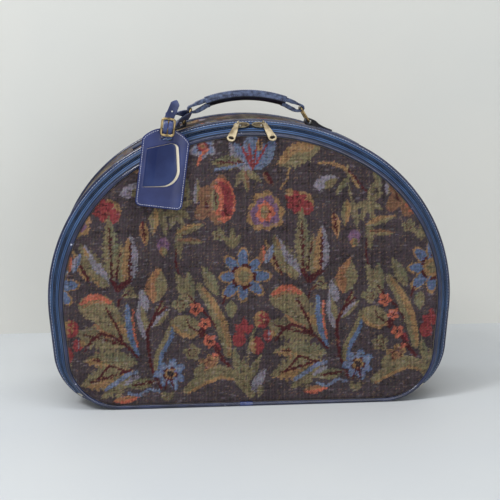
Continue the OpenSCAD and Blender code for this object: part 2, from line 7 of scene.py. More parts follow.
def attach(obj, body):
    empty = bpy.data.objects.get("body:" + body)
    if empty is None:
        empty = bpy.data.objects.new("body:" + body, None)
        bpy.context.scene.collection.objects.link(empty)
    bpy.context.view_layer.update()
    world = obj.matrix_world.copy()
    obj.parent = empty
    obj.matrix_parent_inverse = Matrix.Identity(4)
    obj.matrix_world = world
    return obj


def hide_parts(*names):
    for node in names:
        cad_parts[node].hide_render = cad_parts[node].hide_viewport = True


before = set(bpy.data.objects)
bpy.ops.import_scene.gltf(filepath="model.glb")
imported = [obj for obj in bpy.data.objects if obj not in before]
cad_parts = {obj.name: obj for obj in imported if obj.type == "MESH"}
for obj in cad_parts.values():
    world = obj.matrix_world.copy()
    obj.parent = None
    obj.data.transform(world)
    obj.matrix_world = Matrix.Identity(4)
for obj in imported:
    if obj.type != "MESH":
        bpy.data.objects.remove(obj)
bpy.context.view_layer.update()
mm = 0.001

# ---------- Camera ----------
# The case is seen from a little to its left and from just above its handle,
# through a long lens.
camera = bpy.data.objects.new("camera", bpy.data.cameras.new("camera"))
camera.data.lens, camera.data.sensor_width = 90.19, 36
camera.data.shift_x = -0.0009
camera.data.clip_end = 20
turn, dip, roll = math.radians(-4.4), math.radians(9.04), math.radians(-0.49)
camera.matrix_world = (Matrix.Translation((-0.108, -1.458, 0.3993))
                       @ Matrix.Rotation(turn, 4, "Z") @ Matrix.Rotation(math.pi / 2 - dip, 4, "X")
                       @ Matrix.Rotation(roll, 4, "Z"))
bpy.context.scene.collection.objects.link(camera)
bpy.context.scene.camera = camera
bpy.context.scene.view_settings.view_transform = "Standard"


# ---------- Table, wall and light ----------
# A pale painted table stands against a pale grey wall. Two large soft lamps, a small one
# and an even room light fall on them. A camera behind the wall sees through its back face.
def tone(colour):
    """sRGB 0 to 255 as linear 0 to 1."""
    return [(c / 255 / 12.92 if c < 10.3 else ((c / 255 + 0.055) / 1.055) ** 2.4) for c in colour]


def wire(mat, *pairs):
    """Links an output to an input, pair by pair."""
    for start, end in pairs:
        mat.node_tree.links.new(start, end)


def node(mat, kind, into=None, **values):
    """Adds a node, sets its inputs and properties, and wires its first output to a socket."""
    made = mat.node_tree.nodes.new(kind)
    for name, value in values.items():
        socket = made.inputs.get(name.replace("_", " "))
        if isinstance(value, bpy.types.NodeSocket):
            wire(mat, (value, socket))
        elif socket is not None:
            socket.default_value = value
        else:
            setattr(made, name, value)
    if into is not None:
        wire(mat, (made.outputs[0], into))
    return made


def shader_of(mat):
    return mat.node_tree.nodes["Principled BSDF"].inputs


def material(name, rough, shades=None, scale=0, *grains, detail=4, **sockets):
    """A finish in two sRGB shades, mixed by soft noise that lies still on the piece. Each
    grain is an uneven surface: noise scale, depth in mm, strength and detail."""
    mat = bpy.data.materials.new(name)
    mat.use_nodes = True
    shader = shader_of(mat)
    shader["Roughness"].default_value = rough
    for socket, value in sockets.items():
        shader[socket.replace("_", " ")].default_value = value
    if shades:
        place = node(mat, "ShaderNodeTexCoord").outputs["Object"]
        noise = node(mat, "ShaderNodeTexNoise", Vector=place, Scale=scale, Detail=detail)
        ramp = node(mat, "ShaderNodeValToRGB", shader["Base Color"], Fac=noise.outputs[0])
        for stop, shade, position in zip(ramp.color_ramp.elements, shades, (0.35, 0.65)):
            stop.position, stop.color = position, (*tone(shade), 1)
    for size, depth, strength, *fine in grains:
        noise = node(mat, "ShaderNodeTexNoise", Vector=place, Scale=size, Detail=(fine or [4])[0])
        bump = node(mat, "ShaderNodeBump", Height=noise.outputs[0], Strength=strength,
                    Distance=depth * mm)
        if shader["Normal"].links:
            wire(mat, (shader["Normal"].links[0].from_socket, bump.inputs["Normal"]))
        wire(mat, (bump.outputs[0], shader["Normal"]))
    return mat


def fresh(add, **how):
    """Adds a primitive with nothing else selected and opens it for editing."""
    if bpy.context.mode != "OBJECT":
        bpy.ops.object.mode_set(mode="OBJECT")
    bpy.ops.object.select_all(action="DESELECT")
    add(**how)
    bpy.ops.object.transform_apply(location=True, rotation=True, scale=True)
    bpy.ops.object.mode_set(mode="EDIT")
    bpy.ops.mesh.select_all(action="SELECT")
    return bpy.context.object


def leave(made, name, finish=None, smooth=None):
    """Closes editing, names the piece and gives it its finish."""
    if bpy.context.mode != "OBJECT":
        bpy.ops.object.mode_set(mode="OBJECT")
    made.name = made.data.name = name
    if finish is not None:
        made.data.materials.clear()
        made.data.materials.append(finish)
    if smooth is not None:
        bpy.ops.object.select_all(action="DESELECT")
        made.select_set(True)
        bpy.context.view_layer.objects.active = made
        bpy.ops.object.shade_smooth_by_angle(angle=math.radians(smooth))
    return made


wall_y, room_turn = 0.32, 0.0157
wall_paint = material("wall_paint", 0.9, ((208, 210, 207), (214, 214, 209)), 2.5, (160, 0.3, 0.2))
table_paint = material("table_paint", 0.6, ((198, 203, 208), (202, 206, 209)), 3,
                       (220, 0.15, 0.15))
both = node(wall_paint, "ShaderNodeMath", operation="MULTIPLY")
veil = node(wall_paint, "ShaderNodeMixShader", Fac=both.outputs[0])
wire(wall_paint,
     (node(wall_paint, "ShaderNodeLightPath").outputs["Is Camera Ray"], both.inputs[0]),
     (node(wall_paint, "ShaderNodeNewGeometry").outputs["Backfacing"], both.inputs[1]),
     (wall_paint.node_tree.nodes["Principled BSDF"].outputs[0], veil.inputs[1]),
     (node(wall_paint, "ShaderNodeBsdfTransparent").outputs[0], veil.inputs[2]),
     (veil.outputs[0], wall_paint.node_tree.nodes["Material Output"].inputs["Surface"]))
table = fresh(bpy.ops.mesh.primitive_plane_add, size=6, location=(0, -1, 0))
leave(table, "table", table_paint)
wall = fresh(bpy.ops.mesh.primitive_plane_add, size=6, location=(0, wall_y, 2.9),
             rotation=(math.pi / 2, 0, -room_turn))
leave(wall, "wall", wall_paint)


def lamp(name, place, aim, wide, high, power):
    """A rectangular lamp, its size in metres and its power in watts."""
    made = bpy.data.objects.new(name, bpy.data.lights.new(name, "AREA"))
    made.data.shape, made.data.energy = "RECTANGLE", power
    made.data.size, made.data.size_y = wide, high
    made.location = place
    made.rotation_euler = (Vector(aim) - Vector(place)).to_track_quat("-Z", "Y").to_euler()
    bpy.context.scene.collection.objects.link(made)


lamp("ceiling_light", (0.05, -0.75, 1.9), (0, 0, 0.1), 1.5, 0.3, 12)
lamp("window_light", (-1.1, -1.0, 1.75), (0, 0, 0.15), 0.45, 0.45, 20)
lamp("front_light", (0.5, -2.3, 0.37), (-0.09, -0.09, 0.27), 0.8, 0.72, 9)
room = bpy.data.worlds.new("room")
bpy.context.scene.world = room
room.use_nodes = True
room.node_tree.nodes["Background"].inputs["Color"].default_value = (1, 1, 1, 1)
room.node_tree.nodes["Background"].inputs["Strength"].default_value = 0.54


# ---------- Tapestry on the front panel ----------
# The front is covered with a woven floral tapestry, stretched over board and turned
# in under the piping. Each point of the fine grid is a stitch with its own colour.
case_width, arch_r, shoulder_r, lean = 460, 265, 194, math.radians(5)
arch_z, hub_z = 60, 150
shoulder_x = case_width / 2 - shoulder_r
shoulder = (shoulder_x, arch_z + math.sqrt((arch_r - shoulder_r) ** 2 - shoulder_x ** 2))
meet = math.atan2(shoulder_x, shoulder[1] - arch_z)
front_q, front_face, cloth_in = 14, 81.35, 4.7
row_pitch, rib_pitch, float_pitch, rows, ribs, floats = 1.3, 1.65, 4.2, 1400, 1100, 500


def corner_of(q):
    """Centre and radius of the bottom corner of a line that lies q further in."""
    r = 66 - 0.3 * q
    x = (shoulder[0] * math.cos(lean) - shoulder[1] * math.sin(lean) + shoulder_r - q - r
         + math.sin(lean) * r) / math.cos(lean)
    return x, r


def outline(q, d, step, low=None):
    """Points (x, z) round the case, q in from its widest line and d in from its edge.
    With low it stops at that height on both sides, and starts at the left."""
    x, r = corner_of(q)
    end = -math.pi / 2 if low is None else math.asin((low - r) / (r - d))
    arcs = ((0, arch_z, arch_r - q - d, math.pi / 2, math.pi / 2 - meet),
            (*shoulder, shoulder_r - q - d, math.pi / 2 - meet, -lean), (x, r, r - d, -lean, end))
    half = []
    for (cx, cz, radius, a, b), long in zip(arcs, (136, 203, 90 if low is None else 46)):
        turn = np.linspace(a, b, max(3, round(long / step)) + 1)
        arc = np.stack([cx + radius * np.cos(turn), cz + radius * np.sin(turn)], 1)
        if half and radius == r - d:
            n = max(2, round(56 / step))
            half.append(np.linspace(half[-1][-1], arc[0], n + 1)[1:-1])
        half.append(arc if len(half) != 1 else arc[1:])
    if low is None:
        n = max(2, round(160 / step))
        half.append(np.linspace(half[-1][-1], (0, half[-1][-1][1]), n + 1)[1:])
    half = np.concatenate(half)
    left = half[::-1][:-1] * (-1, 1)
    return np.concatenate([left[1:] if low is None else left, half])


def reach(q, d):
    """How far the outline is from a point inside the case, by direction."""
    line = outline(q, d, 1.0) - (0, hub_z)
    turn, far = np.arctan2(line[:, 0], line[:, 1]), np.hypot(*line.T)
    order = np.argsort(turn)
    return lambda x, z: np.interp(np.arctan2(x, z - hub_z), turn[order], far[order],
                                  period=2 * np.pi)


THREADS = dict(
    ground=(72, 62, 67), dark=(48, 40, 46), olive=(121, 109, 80), green=(111, 107, 82),
    moss=(107, 97, 74), gold=(146, 112, 74), ochre=(146, 102, 70), salmon=(178, 92, 68),
    red=(134, 52, 56), maroon=(78, 34, 38), blue=(86, 104, 138), sky=(104, 116, 144),
    lavender=(130, 123, 136), purple=(114, 84, 112), rust=(124, 88, 66))
THREADS = {name: np.array(tone(colour)) for name, colour in THREADS.items()}
motifs = []


def stamp(x, z, rgb, place, turn, far, shape):
    """Draws a motif on the stitches at x, z in every repeat; shape(u, v) gives their threads."""
    a = math.radians(turn)
    for again in range(-5, 8):
        dx, dz = x - place[0] - 214 * again, z - place[1] - 5.6 * again
        near = np.nonzero((np.abs(dx) < far) & (np.abs(dz) < far))[0]
        dx, dz = dx[near], dz[near]
        u, v = dx * math.cos(a) - dz * math.sin(a), dx * math.sin(a) + dz * math.cos(a)
        for inside, thread in shape(u, v):
            rgb[near[inside]] = THREADS[thread]


def leaf(x, z, turn, long, wide, threads, ragged=0.0):
    """A leaf from its foot at x, z, turn degrees to the right of upright. Its threads are
    those of the left part, the right part and the veins."""
    one, two, vein = (threads.split() + [None, None])[:3]

    def shape(u, v):
        t = np.clip(v / long, 0, 1)
        half = 0.58 * wide * np.sin(np.pi * t ** 0.85)
        half = half * (1 - 1.5 * ragged * np.cos(0.5 * v + (u > 0) + 0.04 * x) ** 2)
        inside = (v > 0) & (v < long) & (np.abs(u) < half)
        yield inside, one
        if two:
            yield inside & (u > 0.1 * wide * np.sin(v / 5)), two
        if vein:
            yield inside & (np.abs(u) < 0.9) & (t < 0.8), vein
            yield inside & (np.abs(np.abs(u) - 0.25 * np.mod(v, 9)) < 0.5) & (t < 0.7), vein
    motifs.append(((x, z), turn, long + wide, shape))


def stem(line, wide, thread, taper=0.0):
    """A stem or a long leaf along a line of points."""
    line = np.array(line, float)
    run = len(line) - 1

    def shape(u, v):
        hit = np.zeros(len(u), bool)
        for k in range(run):
            a, d = line[k] - line[0], line[k + 1] - line[k]
            t = np.clip(((u - a[0]) * d[0] + (v - a[1]) * d[1]) / (d @ d), 0, 1)
            w = wide / 2 * (1 - taper + taper * np.sin(np.pi * (k + t) / run))
            hit |= np.hypot(u - a[0] - t * d[0], v - a[1] - t * d[1]) < w
        yield hit, thread
    motifs.append((line[0], 0, np.abs(line - line[0]).max() + wide, shape))


def flower(x, z, r, petals, threads, turn=0, squeeze=1.0, border=2.4, full=0.64):
    """An open flower in the threads of its rim, petals, eye and core, with dark lines
    between the petals; full is how far in the gaps between them reach."""
    edge, inner, eye, core = (threads.split() + ["moss"])[:4]

    def shape(u, v):
        u = u / squeeze
        far, a = np.hypot(u, v), np.arctan2(u, v)
        lobe = np.abs(np.cos(a * petals / 2))
        rim = r * (full + (1 - full) * lobe ** 1.2) * (1 + 0.08 * np.sin(3 * a + x))
        yield far < rim, edge
        yield (far < rim - border) & (lobe > 0.2), inner
        yield (far < 0.46 * r) & (np.sin(5 * a) > -0.5), "maroon"
        yield far < 0.34 * r, eye
        yield far < 0.2 * r, core
    motifs.append(((x, z), turn, 1.4 * r, shape))


def bud(x, z, wide, high, turn, threads):
    """A closed bud in the threads of its left part, its right part and a slit."""
    one, two, slit = (threads.split() + [None, None])[:3]

    def shape(u, v):
        inside = (2 * u / wide) ** 2 + (2 * v / high) ** 2 < 1
        yield inside, one
        if two:
            yield inside & (u > -0.12 * wide + 0.1 * wide * np.sin(v)), two
        if slit:
            yield inside & (np.abs(u - 0.1 * wide) < 0.8) & (v > -0.2 * high), slit
    motifs.append(((x, z), turn, wide + high, shape))


# The repeat is 214 mm wide: sprays of leaves with flowers between them.
# upper rows: half-open flowers, twigs and drooping leaves
leaf(94, 229, -38, 40, 20, "lavender sky")
leaf(95, 229, 0, 44, 22, "sky blue")
leaf(96, 229, 36, 42, 18, "blue sky")
for turn in (-24, -8, 10, 30):
    leaf(95, 229, turn, 36, 2.6, "red")
bud(103, 257, 7, 14, 0, "gold ochre dark")
leaf(86, 237, -88, 38, 15, "olive green maroon", 0.2)
stem([(84, 236), (73, 233), (54, 230)], 3, "sky")
flower(40, 256, 15, 6, "lavender sky red ochre")
stem([(34, 236), (38, 246), (45, 252)], 3, "salmon")
leaf(122, 235, 66, 58, 24, "gold olive", 0.15)
stem([(136, 230), (133, 218), (126, 208)], 2, "gold")
leaf(85, 231, 205, 24, 6, "olive moss")
leaf(86, 230, 172, 27, 6, "rust olive")
leaf(88, 229, 128, 22, 7, "olive")
bud(112, 220, 8, 15, -28, "rust maroon")
leaf(-24, 213, 252, 28, 13, "olive lavender")
leaf(-38, 208, 252, 14, 12, "lavender")
stem([(170, 236), (184, 235), (196, 231), (206, 219), (213, 208)], 4, "gold", 0.3)
stem([(-13, 228), (-12, 208), (-8, 187), (-11, 172)], 2.2, "olive")
stem([(-12, 222), (4, 203), (14, 192)], 2.2, "maroon")
for turn, long in ((200, 24), (160, 26), (120, 20), (60, 22), (20, 26), (250, 18)):
    leaf(10, 186, turn, long, 6.5, "olive moss")
leaf(24, 196, -12, 34, 7, "olive green")
leaf(32, 192, 4, 30, 6, "lavender olive")
leaf(-12, 214, 215, 26, 6, "green olive")
leaf(-13, 190, 186, 33, 9, "gold olive")
leaf(-7, 188, 170, 34, 7, "olive moss")
leaf(-28, 175, 172, 30, 8.5, "gold ochre maroon")
bud(-5, 147, 14, 17, 0, "purple")
bud(-5, 140, 9, 10, 0, "ochre olive")
stem([(24, 170), (10, 150), (8, 128), (11, 116)], 2.2, "maroon")
leaf(12, 166, 178, 36, 8, "olive moss")
leaf(8, 160, 74, 36, 8, "gold olive")
leaf(10, 152, 94, 32, 6.5, "rust olive")
# the two large round flowers and the red buds beside them
flower(52, 195, 29, 5, "rust rust olive maroon", 20, 0.74)
bud(60, 196, 31, 50, -6, "rust salmon")
bud(63, 197, 21, 40, -6, "red")
bud(64, 190, 12, 26, -30, "maroon red")
bud(56, 196, 13, 34, 0, "salmon")
bud(53, 196, 9, 24, 0, "olive moss maroon")
flower(109, 182, 23, 9, "gold gold gold olive", 8, 0.92, 3.4, 0.86)
flower(109, 182, 18, 7, "purple purple salmon olive", 20, 0.92, 3.4, 0.84)
flower(109, 182, 12, 7, "salmon salmon maroon olive", 0, 0.9, 2, 0.8)
bud(108, 182, 9, 14, 0, "olive gold")
bud(151, 191, 24, 27, 0, "gold")
bud(154, 186, 17, 17, 20, "red")
flower(-71, 188, 13, 6, "red red red red")
bud(-78, 198, 9, 9, 0, "gold")
# tall leaves of the left spray
leaf(-62, 104, -2, 80, 18, "olive green maroon", 0.25)
leaf(-70, 100, -28, 58, 22, "olive moss", 0.2)
leaf(-76, 100, -18, 54, 10, "gold lavender")
leaf(-66, 102, -38, 46, 17, "olive lavender", 0.2)
leaf(-58, 108, 9, 44, 13, "olive gold maroon", 0.2)
leaf(-86, 104, -26, 46, 9, "gold olive maroon")
leaf(-43, 104, 2, 59, 15, "gold lavender maroon")
leaf(-52, 100, 4, 46, 9, "olive gold")
stem([(-64, 110), (-56, 98), (-50, 104), (-42, 108)], 7, "maroon", 0.5)
flower(-43, 94, 8, 3, "olive olive ground")
stem([(-48, 92), (-55, 86), (-58, 74)], 2.4, "maroon")
leaf(-30, 84, 10, 14, 9, "olive")
leaf(-17, 82, 10, 42, 21, "ochre olive")
leaf(-24, 72, -16, 28, 9, "lavender")
leaf(-26, 40, -10, 46, 11, "lavender olive")
leaf(-20, 54, 46, 30, 7.5, "lavender olive")
leaf(-16, 66, 30, 22, 6, "olive")
# the fan and the long ragged leaves
leaf(-54, 36, -28, 62, 34, "olive moss maroon", 0.15)
bud(-80, 78, 42, 30, 8, "olive")
stem([(-97, 83), (-86, 90), (-76, 90), (-66, 84)], 7, "salmon", 0.3)
stem([(-94, 79), (-84, 85), (-72, 84)], 2.5, "ochre")
leaf(-40, 24, -8, 60, 9, "olive moss")
leaf(-48, 34, -74, 62, 30, "olive moss maroon", 0.3)
leaf(-50, 40, -60, 40, 12, "ochre olive")
leaf(-46, 22, -96, 52, 22, "gold olive maroon", 0.25)
leaf(-40, 36, -46, 44, 16, "olive gold", 0.25)
leaf(-36, 14, -82, 44, 20, "olive green", 0.3)
leaf(-42, 6, -106, 62, 32, "gold olive maroon", 0.28)
leaf(-44, 0, -128, 44, 18, "olive moss", 0.3)
stem([(-72, -16), (-58, -7), (-47, 1), (-37, 3)], 5.5, "sky", 0.3)
leaf(-34, -2, -118, 22, 7, "lavender")
leaf(-18, -8, -100, 32, 11, "olive green maroon")
stem([(-47, -21), (-37, -25), (-24, -17), (-13, -20)], 3.2, "sky")
leaf(-64, -30, 84, 30, 8, "ochre salmon")
leaf(-60, -28, 12, 22, 6, "olive")
leaf(-4, -32, -20, 14, 6, "olive")
leaf(-2, -32, 18, 14, 6, "moss")
stem([(-46, 80), (-46, 60), (-42, 38), (-36, 24)], 6.5, "blue", 0.4)
stem([(-40, 74), (-40, 52), (-36, 32)], 2, "salmon")
stem([(-70, 77), (-59, 57), (-52, 37), (-43, 28), (-36, 20)], 3, "maroon")
stem([(-94, 31), (-85, 43), (-76, 48), (-64, 45), (-52, 36)], 3.6, "maroon")
stem([(-83, -6), (-68, 11), (-60, 9), (-48, 3)], 2.8, "maroon")
# stem of the right half with its blue-edged leaf, and the small blue flower
stem([(3, 60), (-3, 40), (-14, 22), (-16, 2)], 8, "olive", 0.5)
stem([(6, 62), (2, 42), (-8, 26), (-13, 6)], 5, "blue", 0.5)
stem([(-11, -16), (-21, 9), (-24, 30), (-25, 50), (-20, 59), (-8, 83)], 4, "maroon", 0.3)
stem([(-24, 50), (-16, 66), (-4, 77)], 3, "maroon")
flower(0, 0, 18, 7, "blue sky gold dark", 10)
stem([(-2, -4), (-6, -17)], 2, "maroon")
stem([(1, -4), (3, -17)], 2, "maroon")
# the big blue flower
flower(84, 110, 32, 8, "gold blue gold olive", 0, 0.96, 3.3, 0.56)
leaf(104, 124, 6, 20, 7, "rust salmon")
leaf(108, 124, 24, 24, 7, "lavender sky")
for turn, long in ((-34, 18), (0, 26), (30, 20)):
    leaf(72, 142, turn, long, 6, "olive moss")
flower(57, 158, 8, 5, "olive green olive")
# leaves with small orange flowers
leaf(28, 80, -30, 42, 15, "olive moss", 0.2)
leaf(26, 84, -8, 34, 10, "olive green")
leaf(56, 88, -28, 40, 13, "olive green", 0.15)
stem([(34, 100), (46, 82), (57, 60), (63, 37), (66, 20)], 14, "olive", 0.45)
stem([(38, 98), (50, 80), (61, 58), (66, 36), (67, 20)], 7, "gold", 0.5)
stem([(22, 90), (33, 76), (44, 66), (52, 52)], 2.4, "maroon")
flower(13, 80, 10, 4, "olive green olive")
bud(18, 55, 32, 24, 14, "olive")
stem([(4, 56), (12, 46), (24, 42), (32, 46)], 4.5, "gold", 0.4)
stem([(20, 62), (22, 54), (32, 48)], 1.8, "maroon")
flower(25, 24, 10, 5, "olive moss olive")
bud(37, 48, 8, 15, 20, "maroon")
bud(53, 29, 8, 14, -24, "maroon red")
stem([(48, 34), (58, 18), (66, 8)], 4.5, "maroon")
for x, z, r in ((30, 74, 8), (40, 57, 7), (45, 37, 8), (51, 19, 4.5)):
    flower(x, z, r, 5, "salmon salmon salmon dark", x)
flower(44, 9, 13, 6, "gold rust ochre rust", 0)
stem([(18, -19), (34, -8), (56, 2), (74, -4), (92, -27)], 14, "olive", 0.4)
stem([(20, -23), (38, -13), (58, -5), (72, -9)], 4, "gold", 0.4)
leaf(28, -6, 30, 20, 10, "olive moss")
# red buds on a thin stem
leaf(70, 83, 180, 22, 11, "olive green")
stem([(64, 88), (60, 78)], 2.4, "maroon")
stem([(104, 60), (95, 46), (89, 30), (88, 8), (89, -18)], 2.4, "olive")
bud(104, 60, 18, 20, 8, "gold red gold")
leaf(84, 44, -42, 16, 8, "red")
leaf(84, 44, 0, 20, 8, "red")
leaf(84, 44, 42, 15, 8, "red")
bud(78, 38, 15, 17, 0, "red")
bud(111, 41, 11, 14, 0, "red red lavender")
bud(117, 43, 6, 8, 0, "gold")
bud(98, 30, 16, 20, -6, "gold red")
leaf(78, -2, -10, 32, 8, "olive green")
leaf(86, -15, 26, 40, 8, "olive moss")
leaf(84, -10, -2, 28, 6, "olive")
leaf(92, -22, 34, 30, 10, "lavender")
leaf(100, -30, 10, 16, 7, "olive moss")


def points_of(made):
    """The places of a piece's points, one to a row."""
    co = np.zeros(len(made.data.vertices) * 3, np.float32)
    made.data.vertices.foreach_get("co", co)
    return co.reshape(-1, 3).astype(float)


def set_points(made, x, y, z):
    """Moves a piece's points to x, y, z in mm."""
    made.data.vertices.foreach_set("co", (np.stack([x, y, z], 1) * mm).astype(np.float32).ravel())


def cut_sheet(x0, x1, y0, y1, cell, unit, outside):
    """A grid trimmed along an outline, its points' x and y, and whether they are on its hem."""
    made = fresh(bpy.ops.mesh.primitive_grid_add, x_subdivisions=round((x1 - x0) / cell),
                 y_subdivisions=round((y1 - y0) / cell), size=1)
    bpy.ops.transform.resize(value=((x1 - x0) * unit, (y1 - y0) * unit, 1))
    bpy.ops.transform.translate(value=((x0 + x1) / 2 * unit, (y0 + y1) / 2 * unit, 0))
    bpy.ops.mesh.select_mode(type="VERT")
    bpy.ops.mesh.select_all(action="DESELECT")
    bpy.ops.object.mode_set(mode="OBJECT")
    x, y, _ = points_of(made).T / unit
    made.data.vertices.foreach_set("select", outside(x, y))
    bpy.ops.object.mode_set(mode="EDIT")
    bpy.ops.mesh.delete(type="VERT")
    bpy.ops.mesh.select_all(action="SELECT")
    bpy.ops.mesh.region_to_loop()
    bpy.ops.object.mode_set(mode="OBJECT")
    x, y, _ = points_of(made).T / unit
    return made, x, y, np.array([v.select for v in made.data.vertices])


def finish_cloth(piece, u, v):
    """Paints the pattern onto a piece whose cloth runs along u and v, in mm: first the
    motifs on stitches that lie a little out of their rows, then the unevenness of threads."""
    chance, count = np.random.default_rng(11), len(u)
    worn = np.sin(u / 31 + 2 * np.sin(v / 47)) * np.sin(v / 23 + 1.3 * np.sin(u / 39))
    rgb = THREADS["ground"] * (1 + 0.10 * worn)[:, None]
    line, rib = (v // row_pitch).astype(int) % rows, (u // rib_pitch).astype(int) % ribs
    x = u + chance.normal(0, 0.35, rows)[line] + chance.normal(0, 0.4, count)
    z = v + chance.normal(0, 0.4, count)
    for motif in motifs:
        stamp(x, z, rgb, *motif)
    chance = np.random.default_rng(5)
    row, column = chance.normal(0, 0.09, rows)[line], chance.normal(0, 0.085, ribs)[rib]
    float_at = ((u + 1.9 * line) // float_pitch).astype(int) % floats
    long = chance.normal(0, 1, (rows, floats))[line, float_at]
    bare = (chance.random(count) < 0.10) | (long < -1.5)
    odd = chance.random(count) < 0.06
    for some, share, other in ((bare, 0.45, 0.7 * THREADS["ground"]), (odd, 0.35, THREADS["gold"]),
                               (long > 1.9, 0.25, THREADS["lavender"])):
        rgb[some] = (1 - share) * rgb[some] + share * other
    rgb = 0.86 * rgb + 0.14 * (rgb @ (0.3, 0.5, 0.2))[:, None]
    cloudy = 0.10 * np.sin(u / 9 + 2 * np.sin(v / 13)) * np.sin(v / 7 + np.sin(u / 11))
    shade = 0.9 + row + column + cloudy + 0.08 * long + chance.normal(0, 0.13, count)
    rgb = np.clip(rgb * shade[:, None] * (1 + chance.normal(0, 0.07, (count, 3))), 0.004, 1)
    colours = piece.data.color_attributes.new("stitch", "FLOAT_COLOR", "POINT")
    colours.data.foreach_set("color", np.c_[rgb, np.ones(count)].astype(np.float32).ravel())
    corner = np.zeros(len(piece.data.loops), np.int32)
    piece.data.loops.foreach_get("vertex_index", corner)
    layer = piece.data.uv_layers.new(name="cloth")
    layer.data.foreach_set("uv", np.stack([u, v], 1)[corner].astype(np.float32).ravel() * mm)


tapestry = material("tapestry", 0.92, Sheen_Weight=0.04, Specular_IOR_Level=0.1)
threads = node(tapestry, "ShaderNodeVertexColor", layer_name="stitch")
along = node(tapestry, "ShaderNodeUVMap", uv_map="cloth").outputs[0]
warp, weft = (node(tapestry, "ShaderNodeTexWave", Vector=along, Scale=scale, Distortion=bent)
              for scale, bent in ((190, 0.6), (260, 0.8)))
warp.bands_direction, weft.bands_direction = "X", "Y"
# The warp and weft lattice scales the stitch colour from 0.55 to 1.62 as well as bumping it:
# painted shade between the threads and painted highlight on their crowns.
lattice = node(tapestry, "ShaderNodeMath", operation="MULTIPLY")
depth = node(tapestry, "ShaderNodeMapRange", Value=lattice.outputs[0], To_Min=0.55, To_Max=1.62)
shaded = node(tapestry, "ShaderNodeVectorMath", shader_of(tapestry)["Base Color"],
              operation="SCALE")
wire(tapestry, (warp.outputs["Fac"], lattice.inputs[0]), (weft.outputs["Fac"], lattice.inputs[1]),
     (threads.outputs["Color"], shaded.inputs[0]), (depth.outputs[0], shaded.inputs["Scale"]))
node(tapestry, "ShaderNodeBump", shader_of(tapestry)["Normal"], Height=lattice.outputs[0],
     Strength=0.55, Distance=0.5 * mm)


def dressed(made, body, replaced):
    """The piece rides on its body and stands for its CAD nodes."""
    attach(made, body)
    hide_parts(*replaced)


def panel_cloth(name, q, d, cell, face, body, replaced, slide, side=1, finish=tapestry):
    """A cloth stretched over a flat panel; face is its level in front of the case's middle,
    side is 1 where it is seen from the front, and slide is how far its pattern is moved."""
    edge_at = reach(q, d)
    half = float(edge_at(1, hub_z)) + 4
    made, x, z, hem = cut_sheet(
        -half, half, 0, 330, cell, mm,
        lambda x, z: np.hypot(x, z - hub_z) > edge_at(x, z) + 0.3 * cell)
    far, edge = np.hypot(x, z - hub_z), edge_at(x, z)
    pull = np.where(hem, edge / far, 1)
    x, z, far = x * pull, hub_z + (z - hub_z) * pull, far * pull
    inner = np.clip((edge - far) / 3.5, 0, 1)
    puff = 0.22 * np.sin(x / 37 + 1) * np.sin(z / 29) + 0.18 * np.sin(x / 17 + z / 23)
    f = face - side * 1.1 * (1 - inner) ** 2 + side * puff * np.clip((edge - far) / 25, 0, 1)
    set_points(made, x, -f, z)
    if side < 0:
        made.data.flip_normals()
    if slide:
        finish_cloth(made, x * side + slide[0], z + slide[1])
    leave(made, name, finish)
    made.data.shade_smooth()
    dressed(made, body, [replaced])
    line = outline(q, d, 1.0)


panel_cloth("front_tapestry", front_q, cloth_in, 1.25, front_face, "lid", "lid_cover", (94, -40))


# ---------- Tapestry round the sides and on the back ----------
# The same cloth runs round the depth of the case in one strip, joined under the base,
# and a second panel covers the back. Both are glued over board between the pipings.
def grid(n, m):
    """A sheet of n by m cells, with the column and the row of each of its points."""
    made = fresh(bpy.ops.mesh.primitive_grid_add, x_subdivisions=n, y_subdivisions=m, size=1)
    bpy.ops.object.mode_set(mode="OBJECT")
    i, j, _ = np.rint((points_of(made).T + 0.5) * [[n], [m], [1]]).astype(int)
    return made, i, j


def rolled(name, line, rows, height, finish):
    """A grid rolled round the case: column i stands on line[i], row j at depth rows[j].
    height(i, j) is how far a point stands out from the line, in mm."""
    made, i, j = grid(len(line) - 1, len(rows) - 1)
    steps = np.diff(line, axis=0)
    way = np.vstack([steps[:1], steps]) + np.vstack([steps, steps[-1:]])
    out = np.stack([-way[:, 1], way[:, 0]], 1) / np.hypot(*way.T)[:, None]
    x, z = (line[i] + out[i] * height(i, j)[:, None]).T
    set_points(made, x, rows[j], z)
    made.data.flip_normals()
    leave(made, name, finish)
    made.data.shade_smooth()
    return made, i, j


panel_cloth("back_tapestry", 0, cloth_in, 1.5, -front_face, "body", "back_cover", (60, -36), -1)
cord_in = 2.45
strip_line = outline(0, cord_in, 1.5)
strip_line = np.concatenate([strip_line[-1:], strip_line])
strip_along = np.r_[0, np.cumsum(np.hypot(*np.diff(strip_line, axis=0).T))]
strip_rows = np.linspace(-59.4, 78.4, 92)
strip, i, j = rolled(
    "gusset_tapestry", strip_line, strip_rows,
    lambda i, j: 0.2 * np.sin(strip_along[i] / 31) * np.sin(strip_rows[j] / 19)
    - 0.9 * (1 - np.clip(np.minimum(j, 91 - j) / 2.5, 0, 1)) ** 2, tapestry)
finish_cloth(strip, strip_along[i], strip_rows[j] + 98)
dressed(strip, "body", ["gusset_cover"])


